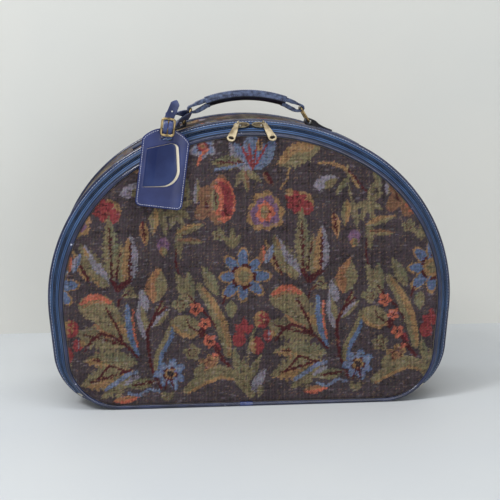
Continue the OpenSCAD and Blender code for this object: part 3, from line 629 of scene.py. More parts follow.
# ---------- Piping ----------
# Shiny navy vinyl is wrapped round a cord and stitched in along three edges of the
# case. A short brighter sleeve covers the join of the front one, under the base.
cord_r, front_cord, body_cord = 2.1, 80.55, 61.55
vinyl = material("piping_vinyl", 0.3, ((16, 23, 50), (32, 42, 76)), 70, (260, 0.35, 0.5),
                 Coat_Weight=1.0, Coat_Roughness=0.14, Specular_IOR_Level=0.1)
worn = node(vinyl, "ShaderNodeTexNoise", Scale=150, Detail=6,
            Vector=node(vinyl, "ShaderNodeTexCoord").outputs["Object"])
spots = node(vinyl, "ShaderNodeValToRGB", Fac=worn.outputs[0])
spots.color_ramp.elements[0].position, spots.color_ramp.elements[1].position = 0.70, 0.74
patch = node(vinyl, "ShaderNodeMix", data_type="RGBA")
patch.inputs["B"].default_value = (*tone((190, 196, 214)), 1)
base = shader_of(vinyl)["Base Color"]
wire(vinyl, (spots.outputs[0], patch.inputs["Factor"]),
     (base.links[0].from_socket, patch.inputs["A"]), (patch.outputs["Result"], base))


def extrude(x=0.0, y=0.0, z=0.0, size=1.0):
    """Extrudes what is selected by a step in mm and resizes the new face about its middle."""
    bpy.ops.mesh.extrude_region_move(TRANSFORM_OT_translate={"value": (x * mm, y * mm, z * mm)})
    if size != 1:
        bpy.ops.transform.resize(value=(size, size, size))


def spin(steps, angle, x, z):
    """Spins what is selected about a centre in mm, on an axis through the case's depth."""
    bpy.ops.mesh.spin(steps=steps, angle=angle, center=(x * mm, 0, z * mm), axis=(0, 1, 0))


def outward():
    """Turns every face outwards."""
    bpy.ops.mesh.select_all(action="SELECT")
    bpy.ops.mesh.normals_make_consistent(inside=False)


def piping(name, q, y, body, replaced):
    """A cord q in from the widest line: a ring at the top of the case goes down its right
    side and under it, and is mirrored."""
    made = fresh(bpy.ops.mesh.primitive_circle_add, vertices=18, radius=cord_r * mm,
                 location=(0, y * mm, (arch_z + arch_r - q - cord_in) * mm),
                 rotation=(0, math.pi / 2, 0))
    x, r = corner_of(q)
    spin(60, -meet, 0, arch_z)
    spin(52, meet - math.pi / 2 - lean, *shoulder)
    side = np.array((math.cos(lean), -math.sin(lean)))
    start = shoulder + side * (shoulder_r - q - cord_in)
    step = ((x, r) + side * (r - cord_in) - start) / 8
    for part in range(8):
        extrude(x=step[0], z=step[1])
    spin(30, lean - math.pi / 2, x, r)
    for part in range(16):
        extrude(x=-x / 16)
    bpy.ops.mesh.select_all(action="SELECT")
    bpy.ops.mesh.duplicate()
    bpy.ops.transform.mirror(constraint_axis=(True, False, False), center_override=(0, 0, 0))
    bpy.ops.mesh.select_all(action="SELECT")
    bpy.ops.mesh.remove_doubles(threshold=0.02 * mm)
    outward()
    leave(made, name, vinyl, 60)
    dressed(made, body, [replaced])


piping("front_piping_cord", front_q, -front_cord, "lid", "lid_piping")
piping("body_piping_cord", 0, -body_cord, "body", "body_piping")
piping("back_piping_cord", 0, front_cord, "body", "back_piping")
bright_vinyl = material("sleeve_vinyl", 0.22, ((26, 40, 88), (48, 64, 118)), 120,
                        (300, 0.25, 0.4), Coat_Weight=0.5)
sleeve = fresh(bpy.ops.mesh.primitive_circle_add, vertices=18, radius=2.3 * mm,
               location=(-15.4 * mm, -front_cord * mm, cord_in * mm),
               rotation=(0, math.pi / 2, 0))
for forward, size in ((0.15, 1.06), (0.5, 1.02), (6.2, 0.985), (1, 1.0), (6.2, 1.015),
                      (0.5, 0.98), (0.15, 0.94)):
    extrude(x=forward, size=size)
outward()
leave(sleeve, "piping_joint", bright_vinyl, 60)
dressed(sleeve, "lid", ["piping_sleeve"])


# ---------- Zip band ----------
# Between the two front pipings a band slopes inwards: a ribbed woven tape on each side
# of the zip, stitched onto stiff vinyl, with two rows of moulded coil between the tapes.
band_slope = math.atan2(front_q, front_cord - body_cord)


def band_line(f, d, step, low):
    """The outline at level f, where the band has come in from the body's edge."""
    return outline(front_q * (f - body_cord) / (front_cord - body_cord), d, step, low)


ribbed = material("zip_tape", 0.5, ((40, 70, 116), (66, 100, 148)), 40, (900, 0.18, 0.5, 2),
                  Specular_IOR_Level=0.3)
# The tape's colour is mixed towards near black by the rib attribute: painted shade in the furrows
# between the ribs.
furrow_shade = node(ribbed, "ShaderNodeMix", data_type="RGBA")
furrow_shade.inputs["A"].default_value = (*tone((5, 9, 18)), 1)
furrow = node(ribbed, "ShaderNodeAttribute", attribute_name="rib")
base = shader_of(ribbed)["Base Color"]
wire(ribbed, (furrow.outputs["Fac"], furrow_shade.inputs["Factor"]),
     (base.links[0].from_socket, furrow_shade.inputs["B"]), (furrow_shade.outputs["Result"], base))


def tape(name, f0, f1, body, replaced):
    """A woven tape with two ribs and a furrow at each edge, from level f0 to f1."""
    levels = np.linspace(f0, f1, 37)
    rib = np.abs(np.sin(np.pi * 2 * (levels - f0) / (f1 - f0)))
    lines = np.array([band_line(f, 1.45 - 0.6 * h, 3, 18.2) for f, h in zip(levels, rib ** 0.6)])
    made, i, j = rolled(name, lines[0], -levels, lambda i, j: 0 * i, ribbed)
    set_points(made, lines[j, i, 0], -levels[j], lines[j, i, 1])
    # The rib attribute is 1 on the ribs and falls to 0 in the furrows, which it darkens as painted
    # shade.
    made.data.attributes.new("rib", "FLOAT", "POINT").data.foreach_set(
        "value", (rib[j] ** 2).astype(np.float32))
    dressed(made, body, [replaced])


tape("body_tape", 63.75, 68.76, "body", "body_zip_tape")
tape("lid_tape", 73.34, 78.35, "lid", "lid_zip_tape")


def many(name, shape, places, finish):
    """One piece made of a modelled shape repeated at each place, a 4 x 4 matrix in mm."""
    base = points_of(shape) / mm
    faces = [tuple(p.vertices) for p in shape.data.polygons]
    points = [base @ np.array(place.to_3x3()).T + np.array(place.translation) for place in places]
    mesh = bpy.data.meshes.new(name)
    mesh.from_pydata(np.concatenate(points) * mm, [],
                     [[v + len(base) * k for v in face]
                      for k in range(len(places)) for face in faces])
    made = bpy.data.objects.new(name, mesh)
    bpy.context.scene.collection.objects.link(made)
    bpy.data.objects.remove(shape)
    return leave(made, name, finish, 180)


def capsule(long, wide, high):
    """A stitch lying along x: a rod that narrows at both ends, its lower half buried."""
    made = fresh(bpy.ops.mesh.primitive_cylinder_add, vertices=6, radius=0.5, depth=1,
                 rotation=(0, math.pi / 2, 0), end_fill_type="NGON")
    bpy.ops.transform.resize(value=(long * mm, wide * mm, high * mm))
    bpy.ops.mesh.bevel(offset=0.22 * min(wide, high) * mm, segments=1, affect="EDGES")
    outward()
    return leave(made, "stitch_shape")


def walk(path, pitch, start=0.5):
    """Goes along a path in steps of pitch mm: the segment, the point and the direction."""
    path = np.asarray(path, float)
    steps = np.linalg.norm(np.diff(path, axis=0), axis=1)
    along = np.r_[0, np.cumsum(steps)]
    for s in np.arange(start * pitch, along[-1], pitch):
        k = min(np.searchsorted(along, s, side="right") - 1, len(steps) - 1)
        way = (path[k + 1] - path[k]) / steps[k]
        yield k, path[k] + way * (s - along[k]), way


def axes(place, *columns):
    """A frame at a place, from the directions of its x, y and z."""
    made = Matrix(columns).transposed().to_4x4()
    made.translation = Vector(place)
    return made


def spots_along(line, y, pitch, start=0.5):
    """Frames every pitch mm along a line in x and z: x runs along it and z points out."""
    for k, spot, way in walk(line, pitch, start):
        way, out = Vector((way[0], 0, way[1])), Vector((-way[1], 0, way[0]))
        yield axes((spot[0], y, spot[1]), way, out.cross(way), out)


coil_plastic = material("zip_coil", 0.32, ((20, 40, 70), (40, 66, 102)), 60, (500, 0.05, 0.2))


def coil_row(name, f, side, body, replaced):
    """A row of coil turns, each one a bead that leans on the next and hooks inwards."""
    bead = fresh(bpy.ops.mesh.primitive_uv_sphere_add, segments=8, ring_count=5, radius=0.5)
    bpy.ops.transform.resize(value=(1.5 * mm, 2.05 * mm, 1.9 * mm))
    leave(bead, "bead_shape")
    turn = Matrix.Rotation(band_slope, 4, "X") @ Matrix.Rotation(side * 0.3, 4, "Z")
    line = band_line(f, 1.5, 3, 18.6)
    made = many(name, bead, [p @ turn for p in spots_along(line, -f, 1.8, 0.5 + 0.25 * side)],
                coil_plastic)
    dressed(made, body, [replaced])


coil_row("body_coil_turns", 69.95, 1, "body", "body_coil")
coil_row("lid_coil_turns", 72.15, -1, "lid", "lid_coil")
hinge_vinyl = material("band_vinyl", 0.4, ((16, 32, 60), (36, 58, 92)), 50, (420, 0.25, 0.5),
                       Specular_IOR_Level=0.3)
stop_metal = material("stop_metal", 0.35, ((160, 152, 138), (190, 184, 170)), 160,
                      (500, 0.05, 0.2), Metallic=0.9)
thread = material("thread", 0.75, ((176, 180, 204), (226, 226, 232)), 300, (1500, 0.1, 0.6))
rear_line = band_line(65.0, 0.75, 3, 18.6)
made = many("band_stitches", capsule(2.3, 0.75, 0.5), list(spots_along(rear_line, -64.6, 3.6)),
            thread)
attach(made, "body")


# ---------- Sliders and pulls ----------
# Two die-cast sliders run over the coils. Each has a dished oval top with a bail, and
# from the bail hangs a pull with an oval hole. All are plated in pale gold nickel.
nickel = material("zip_metal", 0.42, ((104, 92, 72), (164, 152, 126)), 130, (700, 0.06, 0.3),
                  Metallic=0.85)
# A much darker metal for the dish in each slider's crown.
dark_dish_metal = material("dark_dish_metal", 0.5, ((40, 35, 32), (104, 90, 66)), 260, (700, 0.08, 0.4),
                   Metallic=0.6)
zip_arc, zip_level, bail_x, bail_turn = 256.6, 71.05, 4, math.radians(24)


def placed(made, matrix):
    """Moves a piece modelled in its own frame, in mm, to its place in the case."""
    move = matrix.copy()
    move.translation = move.translation * mm
    made.data.transform(move)
    if move.determinant() < 0:
        made.data.flip_normals()


def on_zip(side):
    """From a slider's own frame, x along the zip and z away from it, to the case."""
    return (Matrix.Rotation(math.pi / 2, 4, "X") @ Matrix.Translation((0, arch_z, zip_level))
            @ Matrix.Rotation(-side * math.asin(10 / zip_arc), 4, "Z")
            @ Matrix.Translation((0, zip_arc, 0))
            @ Matrix.Rotation(band_slope - math.pi / 2, 4, "X")
            @ Matrix.Diagonal((1, -1, 1, 1)))


def joined(name, pieces, finish, smooth):
    bpy.ops.object.select_all(action="DESELECT")
    for piece in pieces:
        piece.select_set(True)
    bpy.context.view_layer.objects.active = pieces[0]
    bpy.ops.object.join()
    return leave(pieces[0], name, finish, smooth)


def oval(sides, long, wide, z):
    """An oval face at level z, open for editing."""
    made = fresh(bpy.ops.mesh.primitive_circle_add, vertices=sides, radius=1, fill_type="NGON")
    bpy.ops.transform.resize(value=(long * mm, wide * mm, 1))
    bpy.ops.transform.translate(value=(0, 0, z * mm))
    return made


def slider(side, name):
    crown = oval(48, 8.8, 4.5, 1.47)
    extrude(z=0.3, size=1.02)
    extrude(z=1.0)
    extrude(z=0.2, size=0.975)
    bpy.ops.mesh.inset(thickness=0.9 * mm)
    extrude(z=-0.15, size=0.96)
    extrude(z=-0.85, size=0.92)
    # The dish in the crown's top gets the much darker metal.
    crown.data.materials.append(nickel)
    crown.data.materials.append(dark_dish_metal)
    crown.active_material_index = 1
    bpy.ops.object.material_slot_assign()
    outward()
    leave(crown, "crown")
    post = fresh(bpy.ops.mesh.primitive_cube_add, size=1)
    bpy.ops.transform.resize(value=(3.2 * mm, 0.6 * mm, 3.2 * mm))
    bpy.ops.mesh.bevel(offset=0.1 * mm, segments=2, affect="EDGES")
    leave(post, "post")
    plate = oval(40, 8.4, 4.0, -2.96)
    extrude(z=0.2, size=1.03)
    extrude(z=1.3)
    bpy.ops.mesh.select_all(action="SELECT")
    bpy.ops.mesh.bisect(plane_co=(0, -0.3 * mm, 0), plane_no=(0, -1, 0), clear_outer=True,
                        use_fill=True)
    outward()
    leave(plate, "plate")
    bail = fresh(bpy.ops.mesh.primitive_circle_add, vertices=14, radius=0.8 * mm,
                 location=(2.7 * mm, 0, 1.9 * mm), fill_type="NOTHING")
    extrude(z=1.27)
    spin(20, -math.pi, 0, 3.17)
    extrude(z=-1.27)
    outward()
    leave(bail, "bail")
    placed(bail, Matrix.Translation((side * bail_x, 0, 0))
           @ Matrix.Rotation(-side * bail_turn, 4, "Z"))
    made = joined(name + "_body", [crown, post, plate, bail], None, 35)
    placed(made, on_zip(side))
    dressed(made, name, [name])


def pull(side, name, body):
    """A flat plate with rounded edges and an oval hole, from the rings of a torus, and the
    eye by which it hangs."""
    count, hole_y = 96, 22.3
    half = [(0, 1.2), (2.1, 1.2), (2.3, 4.4), (2.8, 6.4), (3.5, 11), (4.1, 16), (4.6, 21)]
    half += [(4.7 * math.cos(a), hole_y + 4.7 * math.sin(a))
             for a in np.linspace(0, np.pi / 2, 24)]
    half = np.array(half)
    ring = np.concatenate([half, half[::-1][1:] * (-1, 1)])
    along = np.r_[0, np.cumsum(np.hypot(*np.diff(ring, axis=0).T))]
    spots = np.linspace(0, 1, count + 1)[:-1]
    spots = along[-1] * (spots + 0.1 * np.sin(2 * np.pi * spots))
    ring = np.stack([np.interp(spots, along, ring[:, 0]), np.interp(spots, along, ring[:, 1])], 1)
    turn = np.arctan2(ring[:, 1] - hole_y, ring[:, 0])
    hole = np.stack([np.cos(turn), np.sin(turn)], 1)
    slope = np.roll(ring, -1, 0) - np.roll(ring, 1, 0)
    soft = ring - 0.25 * np.stack([slope[:, 1], -slope[:, 0]], 1) / np.hypot(*slope.T)[:, None]
    wide, tight = hole * (3.15, 2.25) + (0, hole_y), hole * (2.9, 2) + (0, hole_y)
    loops = np.array([ring, ring, soft, wide, tight, tight, wide, soft])
    levels = np.array([-0.5, 0.5, 0.75, 0.75, 0.45, -0.45, -0.75, -0.75])
    made = fresh(bpy.ops.mesh.primitive_torus_add, major_segments=count, minor_segments=8,
                 major_radius=2, minor_radius=1)
    bpy.ops.object.mode_set(mode="OBJECT")
    x, y, z = points_of(made).T
    i = np.rint(np.arctan2(y, x) / (2 * np.pi) * count).astype(int) % count
    k = np.rint(np.arctan2(z, np.hypot(x, y) - 2) / (2 * np.pi) * 8).astype(int) % 8
    set_points(made, *loops[k, i].T, levels[k])
    bpy.ops.object.mode_set(mode="EDIT")
    outward()
    leave(made, "pull_plate")
    eye = fresh(bpy.ops.mesh.primitive_torus_add, major_radius=1.65 * mm, minor_radius=0.5 * mm,
                major_segments=28, minor_segments=10, rotation=(0, math.pi / 2, 0))
    bpy.ops.transform.resize(value=(1.9, 1, 1))
    leave(eye, "pull_eye")
    made = joined(name, [made, eye], nickel, 35)
    placed(made, on_zip(side) @ Matrix.Translation((side * bail_x, 0, 5.87))
           @ Matrix.Rotation(math.radians(-14), 4, "X")
           @ Matrix.Rotation(-side * bail_turn, 4, "Z"))
    dressed(made, body, [body])


slider(-1, "slider_left")
slider(1, "slider_right")
pull(-1, "pull_left_tab", "pull_left")
pull(1, "pull_right_tab", "pull_right")


# ---------- Linings and boards ----------
# Inside, plain woven lining is glued over grey board on the front panel, round the sides
# and on the back. A stiff padded panel covered in vinyl closes the base.
lining = material("lining", 0.8, ((52, 60, 92), (68, 76, 108)), 12, (900, 0.12, 0.4, 1),
                  Sheen_Weight=0.2)
board = material("board", 0.9, ((112, 104, 90), (132, 124, 110)), 30, (200, 0.2, 0.4))
base_vinyl = material("base_cloth", 0.55, ((30, 36, 60), (46, 52, 80)), 30, (500, 0.2, 0.5))
panel_cloth("lid_inside", front_q, 5.2, 5, 77.35, "lid", "lid_lining", None, -1, lining)
panel_cloth("back_inside", 0, 6.6, 5, -77.4, "body", "back_lining", None, 1, lining)
inner_line = outline(0, 6.45, 6)
inner_line = np.concatenate([inner_line[-1:], inner_line])[::-1]
inside, i, j = rolled("gusset_inside", inner_line, np.linspace(-61.3, 77.3, 30),
                      lambda i, j: 0.3 * np.sin(i / 3) * np.sin(j / 2), lining)
dressed(inside, "body", ["gusset_lining"])


def coat(finish, *names):
    """Gives CAD nodes a finish."""
    for name in names:
        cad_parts[name].data.materials.clear()
        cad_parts[name].data.materials.append(finish)


coat(board, "back_board", "gusset_board", "lid_board")
coat(hinge_vinyl, "body_rim", "lid_rim", "hinge_band")
coat(stop_metal, "zip_end_stops")
coat(base_vinyl, "base_pad")


# ---------- Crest straps and chapes ----------
# A leather strap is stitched along the crest on each side, and a short wide strap, the
# chape, is looped round the ring and sewn down onto it.
leather = material("handle_leather", 0.45, ((18, 26, 50), (44, 56, 86)), 60, (520, 0.3, 0.75),
                   (130, 0.3, 0.4), Specular_IOR_Level=0.35)
black_leather = material("chape_leather", 0.45, ((11, 12, 22), (30, 33, 50)), 90,
                         (480, 0.3, 0.7), Specular_IOR_Level=0.3)
dark_thread = material("dark_thread", 0.7, ((70, 76, 110), (120, 124, 156)), 200,
                       (1500, 0.1, 0.6))
ring_low, ring_high = (73.0, 0, 317.2), (63.5, 0, 333.2)
sides = ((-1, "left"), (1, "right"))


def swept(name, path, wide, profile, finish, smooth=45, closed=False, size=None):
    """A solid strap or wire: a profile, points across and out in mm, carried along a path.
    wide is the direction across at each point, and size a scale across."""
    path, profile = np.asarray(path, float), np.asarray(profile, float)
    n = len(path)
    ahead = np.roll(path, -1, 0) - np.roll(path, 1, 0) if closed else np.gradient(path, axis=0)
    ahead /= np.linalg.norm(ahead, axis=1)[:, None]
    out = np.cross(ahead, np.asarray(wide, float))
    out /= np.linalg.norm(out, axis=1)[:, None]
    across = np.cross(out, ahead) * (np.ones(n) if size is None else np.asarray(size))[:, None]
    if profile.ndim == 2:
        profile = np.broadcast_to(profile, (n, *profile.shape))
    m = profile.shape[1]
    made, i, j = grid(n if closed else n - 1, m)
    i, j = i % n, j % m
    set_points(made, *(path[i] + across[i] * profile[i, j, :1] + out[i] * profile[i, j, 1:]).T)
    bpy.ops.object.mode_set(mode="EDIT")
    bpy.ops.mesh.select_all(action="SELECT")
    bpy.ops.mesh.remove_doubles(threshold=0.001 * mm)
    if not closed:
        bpy.ops.mesh.fill_holes(sides=0)
    outward()
    return leave(made, name, finish, smooth)


def flat(wide, high, dome=0.0, soft=0.45):
    """Profile of a strap with softened edges; its outer face may be domed."""
    w, h = wide / 2, high / 2
    top = [(x * (w - soft), h + dome * (1 - x * x)) for x in np.linspace(1, -1, 9)]
    return [(-w, h - soft), (-w, soft - h), (soft - w, -h), (w - soft, -h), (w, soft - h),
            (w, h - soft)] + top


def circle(steps):
    return np.linspace(0, 2 * np.pi, steps + 1)[:-1]


def rod(radius, sides=14, squash=1.0):
    turn = circle(sides)
    return np.stack([radius * np.cos(turn), radius * squash * np.sin(turn)], 1)


def smooth_path(points, step):
    """A smooth line through points, with a point about every step mm."""
    points = np.asarray(points, float)
    ends = np.concatenate([2 * points[:1] - points[1:2], points, 2 * points[-1:] - points[-2:-1]])
    line = []
    for a, b, c, d in zip(ends, ends[1:], ends[2:], ends[3:]):
        t = np.linspace(0, 1, max(2, round(np.linalg.norm((c - b)[:3]) / step)) + 1)[:-1, None]
        line.append(0.5 * (2 * b + (c - a) * t + (2 * a - 5 * b + 4 * c - d) * t ** 2
                           + (3 * b - a - 3 * c + d) * t ** 3))
    return np.concatenate(line + [points[-1:]])


def over_arc(radius, z, turn, y=0.0):
    """A point on an arc over the case: its centre's height, and turn in degrees from its top."""
    a = math.radians(turn)
    return (radius * math.sin(a), y, z + radius * math.cos(a))


def crest(turn, out, y=0.0):
    """A point over the crest: turn in degrees to the right of its top, out mm above it."""
    return over_arc(262.55 + out, arch_z, turn, y)


def stitched(name, path, out, pitch, body, shape=(1.5, 0.6, 0.5), finish=dark_thread):
    """A row of stitches along a path; out is the direction away from the leather."""
    out, places = np.broadcast_to(np.asarray(out, float), np.shape(path)), []
    for k, spot, way in walk(path, pitch):
        way = Vector(way)
        across = Vector(out[k]).cross(way).normalized()
        places.append(axes(spot, way, across, way.cross(across)))
    made = many(name, capsule(*shape), places, finish)
    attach(made, body)


for side, word in sides:
    turns = side * np.linspace(18.3, 29.9, 30)
    made = swept(f"crest_{word}", [crest(t, 1.15) for t in turns], (0, side, 0),
                 [flat(25, 2.2, 0.15 + 1.1 * np.clip((abs(t) - 22) / 1.5, 0, 1)) for t in turns],
                 leather, size=[1] * 27 + [0.98, 0.93, 0.84])
    dressed(made, "body", [f"crest_strap_{word}"])
    for y, row in ((-11, "front"), (11, "back")):
        stitched(f"crest_stitches_{word}_{row}", [crest(t, 2.4, y) for t in turns[1:-2]],
                 [crest(t, 1) for t in turns[1:-2]] - np.array((0, 0, arch_z)), 2.6, "body",
                 (1.5, 0.55, 0.4))
    loop = [crest(side * t, out) for t, out in ((22, 3.3), (20, 3.5), (18.3, 5), (17.2, 7.2))]
    loop += [np.multiply(ring_low, (side, 1, 1)) + over_arc(3.15, 0, side * a)
             for a in (16, -20, -56, -92, -128, -164)]
    loop += [crest(side * 16.6, 1.25), crest(side * 18.0, 1.2)]
    loop = swept(f"chape_loop_{word}", smooth_path(loop, 0.7), (0, -side, 0),
                 flat(19.6, 2.1, 0.1), black_leather)
    bulk = np.linspace(16.7, 21, 12)
    rise = np.interp(bulk, (16.7, 17.2, 18.3, 20, 21), (4.6, 4.3, 2.1, 0.9, 0.6))
    wedge = swept(f"filler_{word}", [crest(side * t, 2.1 + h / 2) for t, h in zip(bulk, rise)],
                  (0, -side, 0), [flat(18.6, h, 0.05, 0.1) for h in rise], black_leather)
    made = joined(f"chape_loop_{word}", [loop, wedge], black_leather, 45)
    dressed(made, "body", [f"chape_{word}"])


# ---------- Rings ----------
# Two bent wire rings of aged brass join the handle to the chapes. Each lies loose in its
# chape and in the loop at the handle's end, so that the handle can rock.
brass = material("ring_metal", 0.34, ((88, 74, 50), (186, 164, 120)), 150, (420, 0.08, 0.4),
                 Metallic=0.9)


def frame_path(half_w, half_h, corner):
    """A rounded rectangle in its own plane, going round once."""
    return np.array([(sx * (half_w - corner) + corner * np.cos(a + k * np.pi / 2),
                      sy * (half_h - corner) + corner * np.sin(a + k * np.pi / 2))
                     for k, (sx, sy) in enumerate(((1, 1), (-1, 1), (-1, -1), (1, -1)))
                     for a in np.linspace(0, np.pi / 2, 7)])


for side, word in sides:
    low, high = np.multiply((ring_low, ring_high), (side, 1, 1))
    up = (high - low) / np.linalg.norm(high - low)
    path = frame_path(12.1, 9.3, 3.4)
    path = (low + high) / 2 + path[:, :1] * np.array((0, 1, 0)) + path[:, 1:] * up
    made = swept(f"wire_ring_{word}", path, np.cross(up, (0, 1, 0)), rod(1.3), brass, closed=True)
    dressed(made, f"ring_{word}", [f"ring_{word}"])


# ---------- Handle ----------
# A rolled grip of leather on a stiff core. A grained strip is wrapped over its upper
# half and stitched along both edges, and runs on into a loop round each ring.
dark_leather = material("grip_leather", 0.3, ((10, 12, 24), (24, 29, 48)), 60, (300, 0.12, 0.3),
                        Specular_IOR_Level=0.4)
grain = material("grained_strip", 0.45, ((24, 34, 60), (76, 90, 122)), 230, (620, 0.5, 0.9, 2),
                 detail=2, Specular_IOR_Level=0.35)
grip_r, grip_z = 141.9, 206.3
turns = np.linspace(-18.9, 18.9, 60)
spine = [over_arc(grip_r, grip_z, t) for t in turns]
section = [(y + (4 if y > 0 else -4), z) for y, z in rod(5.4, 24)]
made = swept("grip_roll", spine, (0, 1, 0), section, dark_leather)
dressed(made, "handle", ["handle_grip", "handle_core"])
over, under = ([(4 + r * math.cos(a), r * math.sin(a))
                for a in np.radians(np.linspace(-4, 90, 10))] for r in (6.35, 5.35))
over += [(-y, z) for y, z in over[::-1]]
under += [(-y, z) for y, z in under[::-1]]
made = swept("grip_strip", spine, (0, 1, 0), over + under[::-1], grain)
dressed(made, "handle", ["handle_strip"])
for y, lift, name in ((-10.25, 0.9, "front"), (10.25, 0.9, "back"), (-5.6, 6.25, "crest_front"),
                      (5.6, 6.25, "crest_back")):
    out = np.array([over_arc(float(lift > 2), 0, t, y / 6) for t in turns])
    stitched(f"grip_stitches_{name}", [over_arc(grip_r + lift, grip_z, t, y) for t in turns], out,
             2.3, "handle")
for side, word in sides:
    loop = [(43.5, 344.9), (50, 343.1), (56, 340.6), (60.4, 337.9)]
    loop += [(ring_high[0] + 3.1 * math.cos(math.radians(a)),
              ring_high[2] + 3.1 * math.sin(math.radians(a))) for a in (80, 45, 10, -25, -60, -95)]
    loop += [(59.5, 329.6), (55, 330.6), (50, 333.0), (45, 335.9), (41.5, 337.0)]
    path = smooth_path([(side * x, 0, z) for x, z in loop], 0.8)
    thick = 2.4 + 2.2 * np.clip((61.5 - np.abs(path[:, 0])) / 7, 0, 1)
    made = swept(f"loop_{word}", path, (0, side, 0),
                 [np.array(flat(17.8, t, 0.2)) + (0, (2.4 - t) / 2) for t in thick], grain)
    dressed(made, "handle", [f"handle_loop_{word}"])
    n = len(path) // 2
    face = np.cross(np.gradient(path, axis=0), (0, side, 0))
    face /= np.linalg.norm(face, axis=1)[:, None]
    for y, row in ((-7.4, "front"), (7.4, "back")):
        stitched(f"loop_stitches_{word}_{row}", (path + face * 1.25 + (0, y, 0))[:n], face[:n],
                 2.3, "handle")


# ---------- Luggage tag ----------
# Two tag-shaped pieces of navy leather are stitched together round a paper card. The
# front one has a flap cut on three sides, and the card shows at its right edge.
tag_hide = material("tag_leather", 0.34, ((19, 31, 80), (38, 51, 104)), 34, (700, 0.08, 0.35),
                    (60, 0.25, 0.25), detail=6, Specular_IOR_Level=0.4)
flap_hide = material("flap_leather", 0.32, ((20, 33, 76), (40, 54, 98)), 30, (700, 0.08, 0.35),
                     detail=6, Specular_IOR_Level=0.25)
# The rims of both hides are pale lavender: partly the colour of the leather's cut edge and partly
# a painted highlight along it.
cut_edge_and_highlight = material("cut_edge_and_highlight", 0.7, ((110, 116, 160), (176, 178, 206)), 150, (700, 0.15, 0.5))
raw_edge = material("raw_edge", 0.75, ((120, 92, 54), (188, 158, 104)), 150, (700, 0.15, 0.5))
paper = material("card", 0.8, ((226, 214, 186), (240, 232, 210)), 40, (600, 0.05, 0.3))
coat(paper, "tag_card")
slot_x, slot_z, tag_lean, strap_lean, front_hide = -93, 307.7, 7.8, 8, 88.3


def at(lean_at, x, y, f):
    """A point near the tag slot: x and y in a plane that leans to the right, at level f."""
    a = math.radians(lean_at)
    return (x * math.cos(a) + y * math.sin(a) + slot_x, -f,
            slot_z - x * math.sin(a) + y * math.cos(a))


def box_depth(x, y, half_w, half_h, r):
    """How far a point lies inside a rounded rectangle about the origin."""
    dx, dy = np.abs(x) - half_w + r, np.abs(y) - half_h + r
    return r - np.hypot(np.maximum(dx, 0), np.maximum(dy, 0)) - np.minimum(np.maximum(dx, dy), 0)


def hull_depth(x, y, blobs):
    """How far a point lies inside the taut outline round blobs, each x, y and radius."""
    c, s = np.cos(circle(240)), np.sin(circle(240))
    edge = np.max([bx * c + by * s + r for bx, by, r in blobs], axis=0)
    return np.min(edge - np.multiply.outer(x, c) - np.multiply.outer(y, s), axis=-1)


def tag_depth(x, y):
    arch = np.where(y > -23.24, 32.24 - np.hypot(x, y + 23.24), 99)
    return np.minimum(box_depth(x, y + 35, 26, 44, 6), arch)


def flap_depth(x, y, grow=0.0, aside=0.0):
    """The flap's outline, or with grow and aside that of the opening it is cut from."""
    blobs = [(-19.5, -57.8, grow), (-19.5, -16, grow), (6.5, -12, 5 + grow),
             (-2.5, -36.8, 18 + grow)]
    blobs += [(bx + aside, by - aside / 8, r) for bx, by, r in blobs[2:]]
    return np.minimum(hull_depth(x, y, blobs), x + 19.5)


def sag(x, y):
    """The tag's right margin bends back a little, and its foot comes forward."""
    return -0.011 * np.maximum(x - 12, 0) ** 2 + 0.2 * np.sin(y / 22)


def hide_cut(name, depth, box, cell, wall, level, finishes, body, replaced):
    """A piece of leather: depth(x, y) is how far a point lies in from its cut edge, and
    level(x, y) is the height of its outer face."""
    made, x, y, hem = cut_sheet(*box, cell, 1, lambda x, y: depth(x, y) < -0.3 * cell)
    for again in range(3):
        d, e = depth(x, y), 0.05
        gx, gy = (depth(x + e, y) - d) / e, (depth(x, y + e) - d) / e
        x, y = x - np.where(hem, d * gx, 0), y - np.where(hem, d * gy, 0)
    set_points(made, x, y, level(x, y) - 0.35 * (1 - np.clip(depth(x, y) / 1.1, 0, 1)) ** 2)
    thick = made.modifiers.new("thick", "SOLIDIFY")
    thick.thickness, thick.offset, thick.material_offset_rim = wall * mm, -1, 1
    bpy.context.view_layer.objects.active = made
    for finish in finishes:
        made.data.materials.append(finish)
    bpy.ops.object.modifier_apply(modifier="thick")
    leave(made, name, None, 50)
    placed(made, Matrix.Rotation(math.pi / 2, 4, "X") @ Matrix.Translation((slot_x, slot_z, 0))
           @ Matrix.Rotation(-math.radians(tag_lean), 4, "Z"))
    dressed(made, body, [replaced])


whole = (-26.8, 26.8, -79.6, 9.8)
hide_cut("tag_back_hide", lambda x, y: np.minimum(tag_depth(x, y), -box_depth(x, y, 6, 5.2, 1)),
         whole, 1.6, 1.2, lambda x, y: 86.7 + sag(x, y), (tag_hide, cut_edge_and_highlight), "tag", "tag_back")
hide_cut("tag_front_hide",
         lambda x, y: np.min([tag_depth(x, y), -box_depth(x, y, 6, 4, 1),
                              -flap_depth(x, y, 0.35, 2.6)], axis=0),
         whole, 0.9, 1.2, lambda x, y: front_hide + sag(x, y), (tag_hide, cut_edge_and_highlight), "tag",
         "tag_front")
hide_cut("tag_flap_hide", flap_depth, (-20.2, 16.4, -58.6, -6.4), 0.9, 1.1,
         lambda x, y: front_hide + sag(x, y) + 1.25 * np.clip((x + 19.5) / 11, 0, 1) ** 1.6
         * np.clip((x + 30) / 40, 0, 1), (flap_hide, raw_edge), "tag_flap", "tag_flap")
rim = []
for turn in np.linspace(-0.2, 2 * np.pi - 0.2, 200):
    far = np.linspace(10, 60, 400)
    r = np.interp(-1.8, -tag_depth(far * math.sin(turn), far * math.cos(turn) - 35), far)
    x, y = r * math.sin(turn), r * math.cos(turn) - 35
    rim.append(at(tag_lean, x, y, front_hide + 0.02 + sag(x, y)))
stitched("tag_stitches", rim, (0, -1, 0), 2.55, "tag", (1.5, 0.62, 0.42), thread)


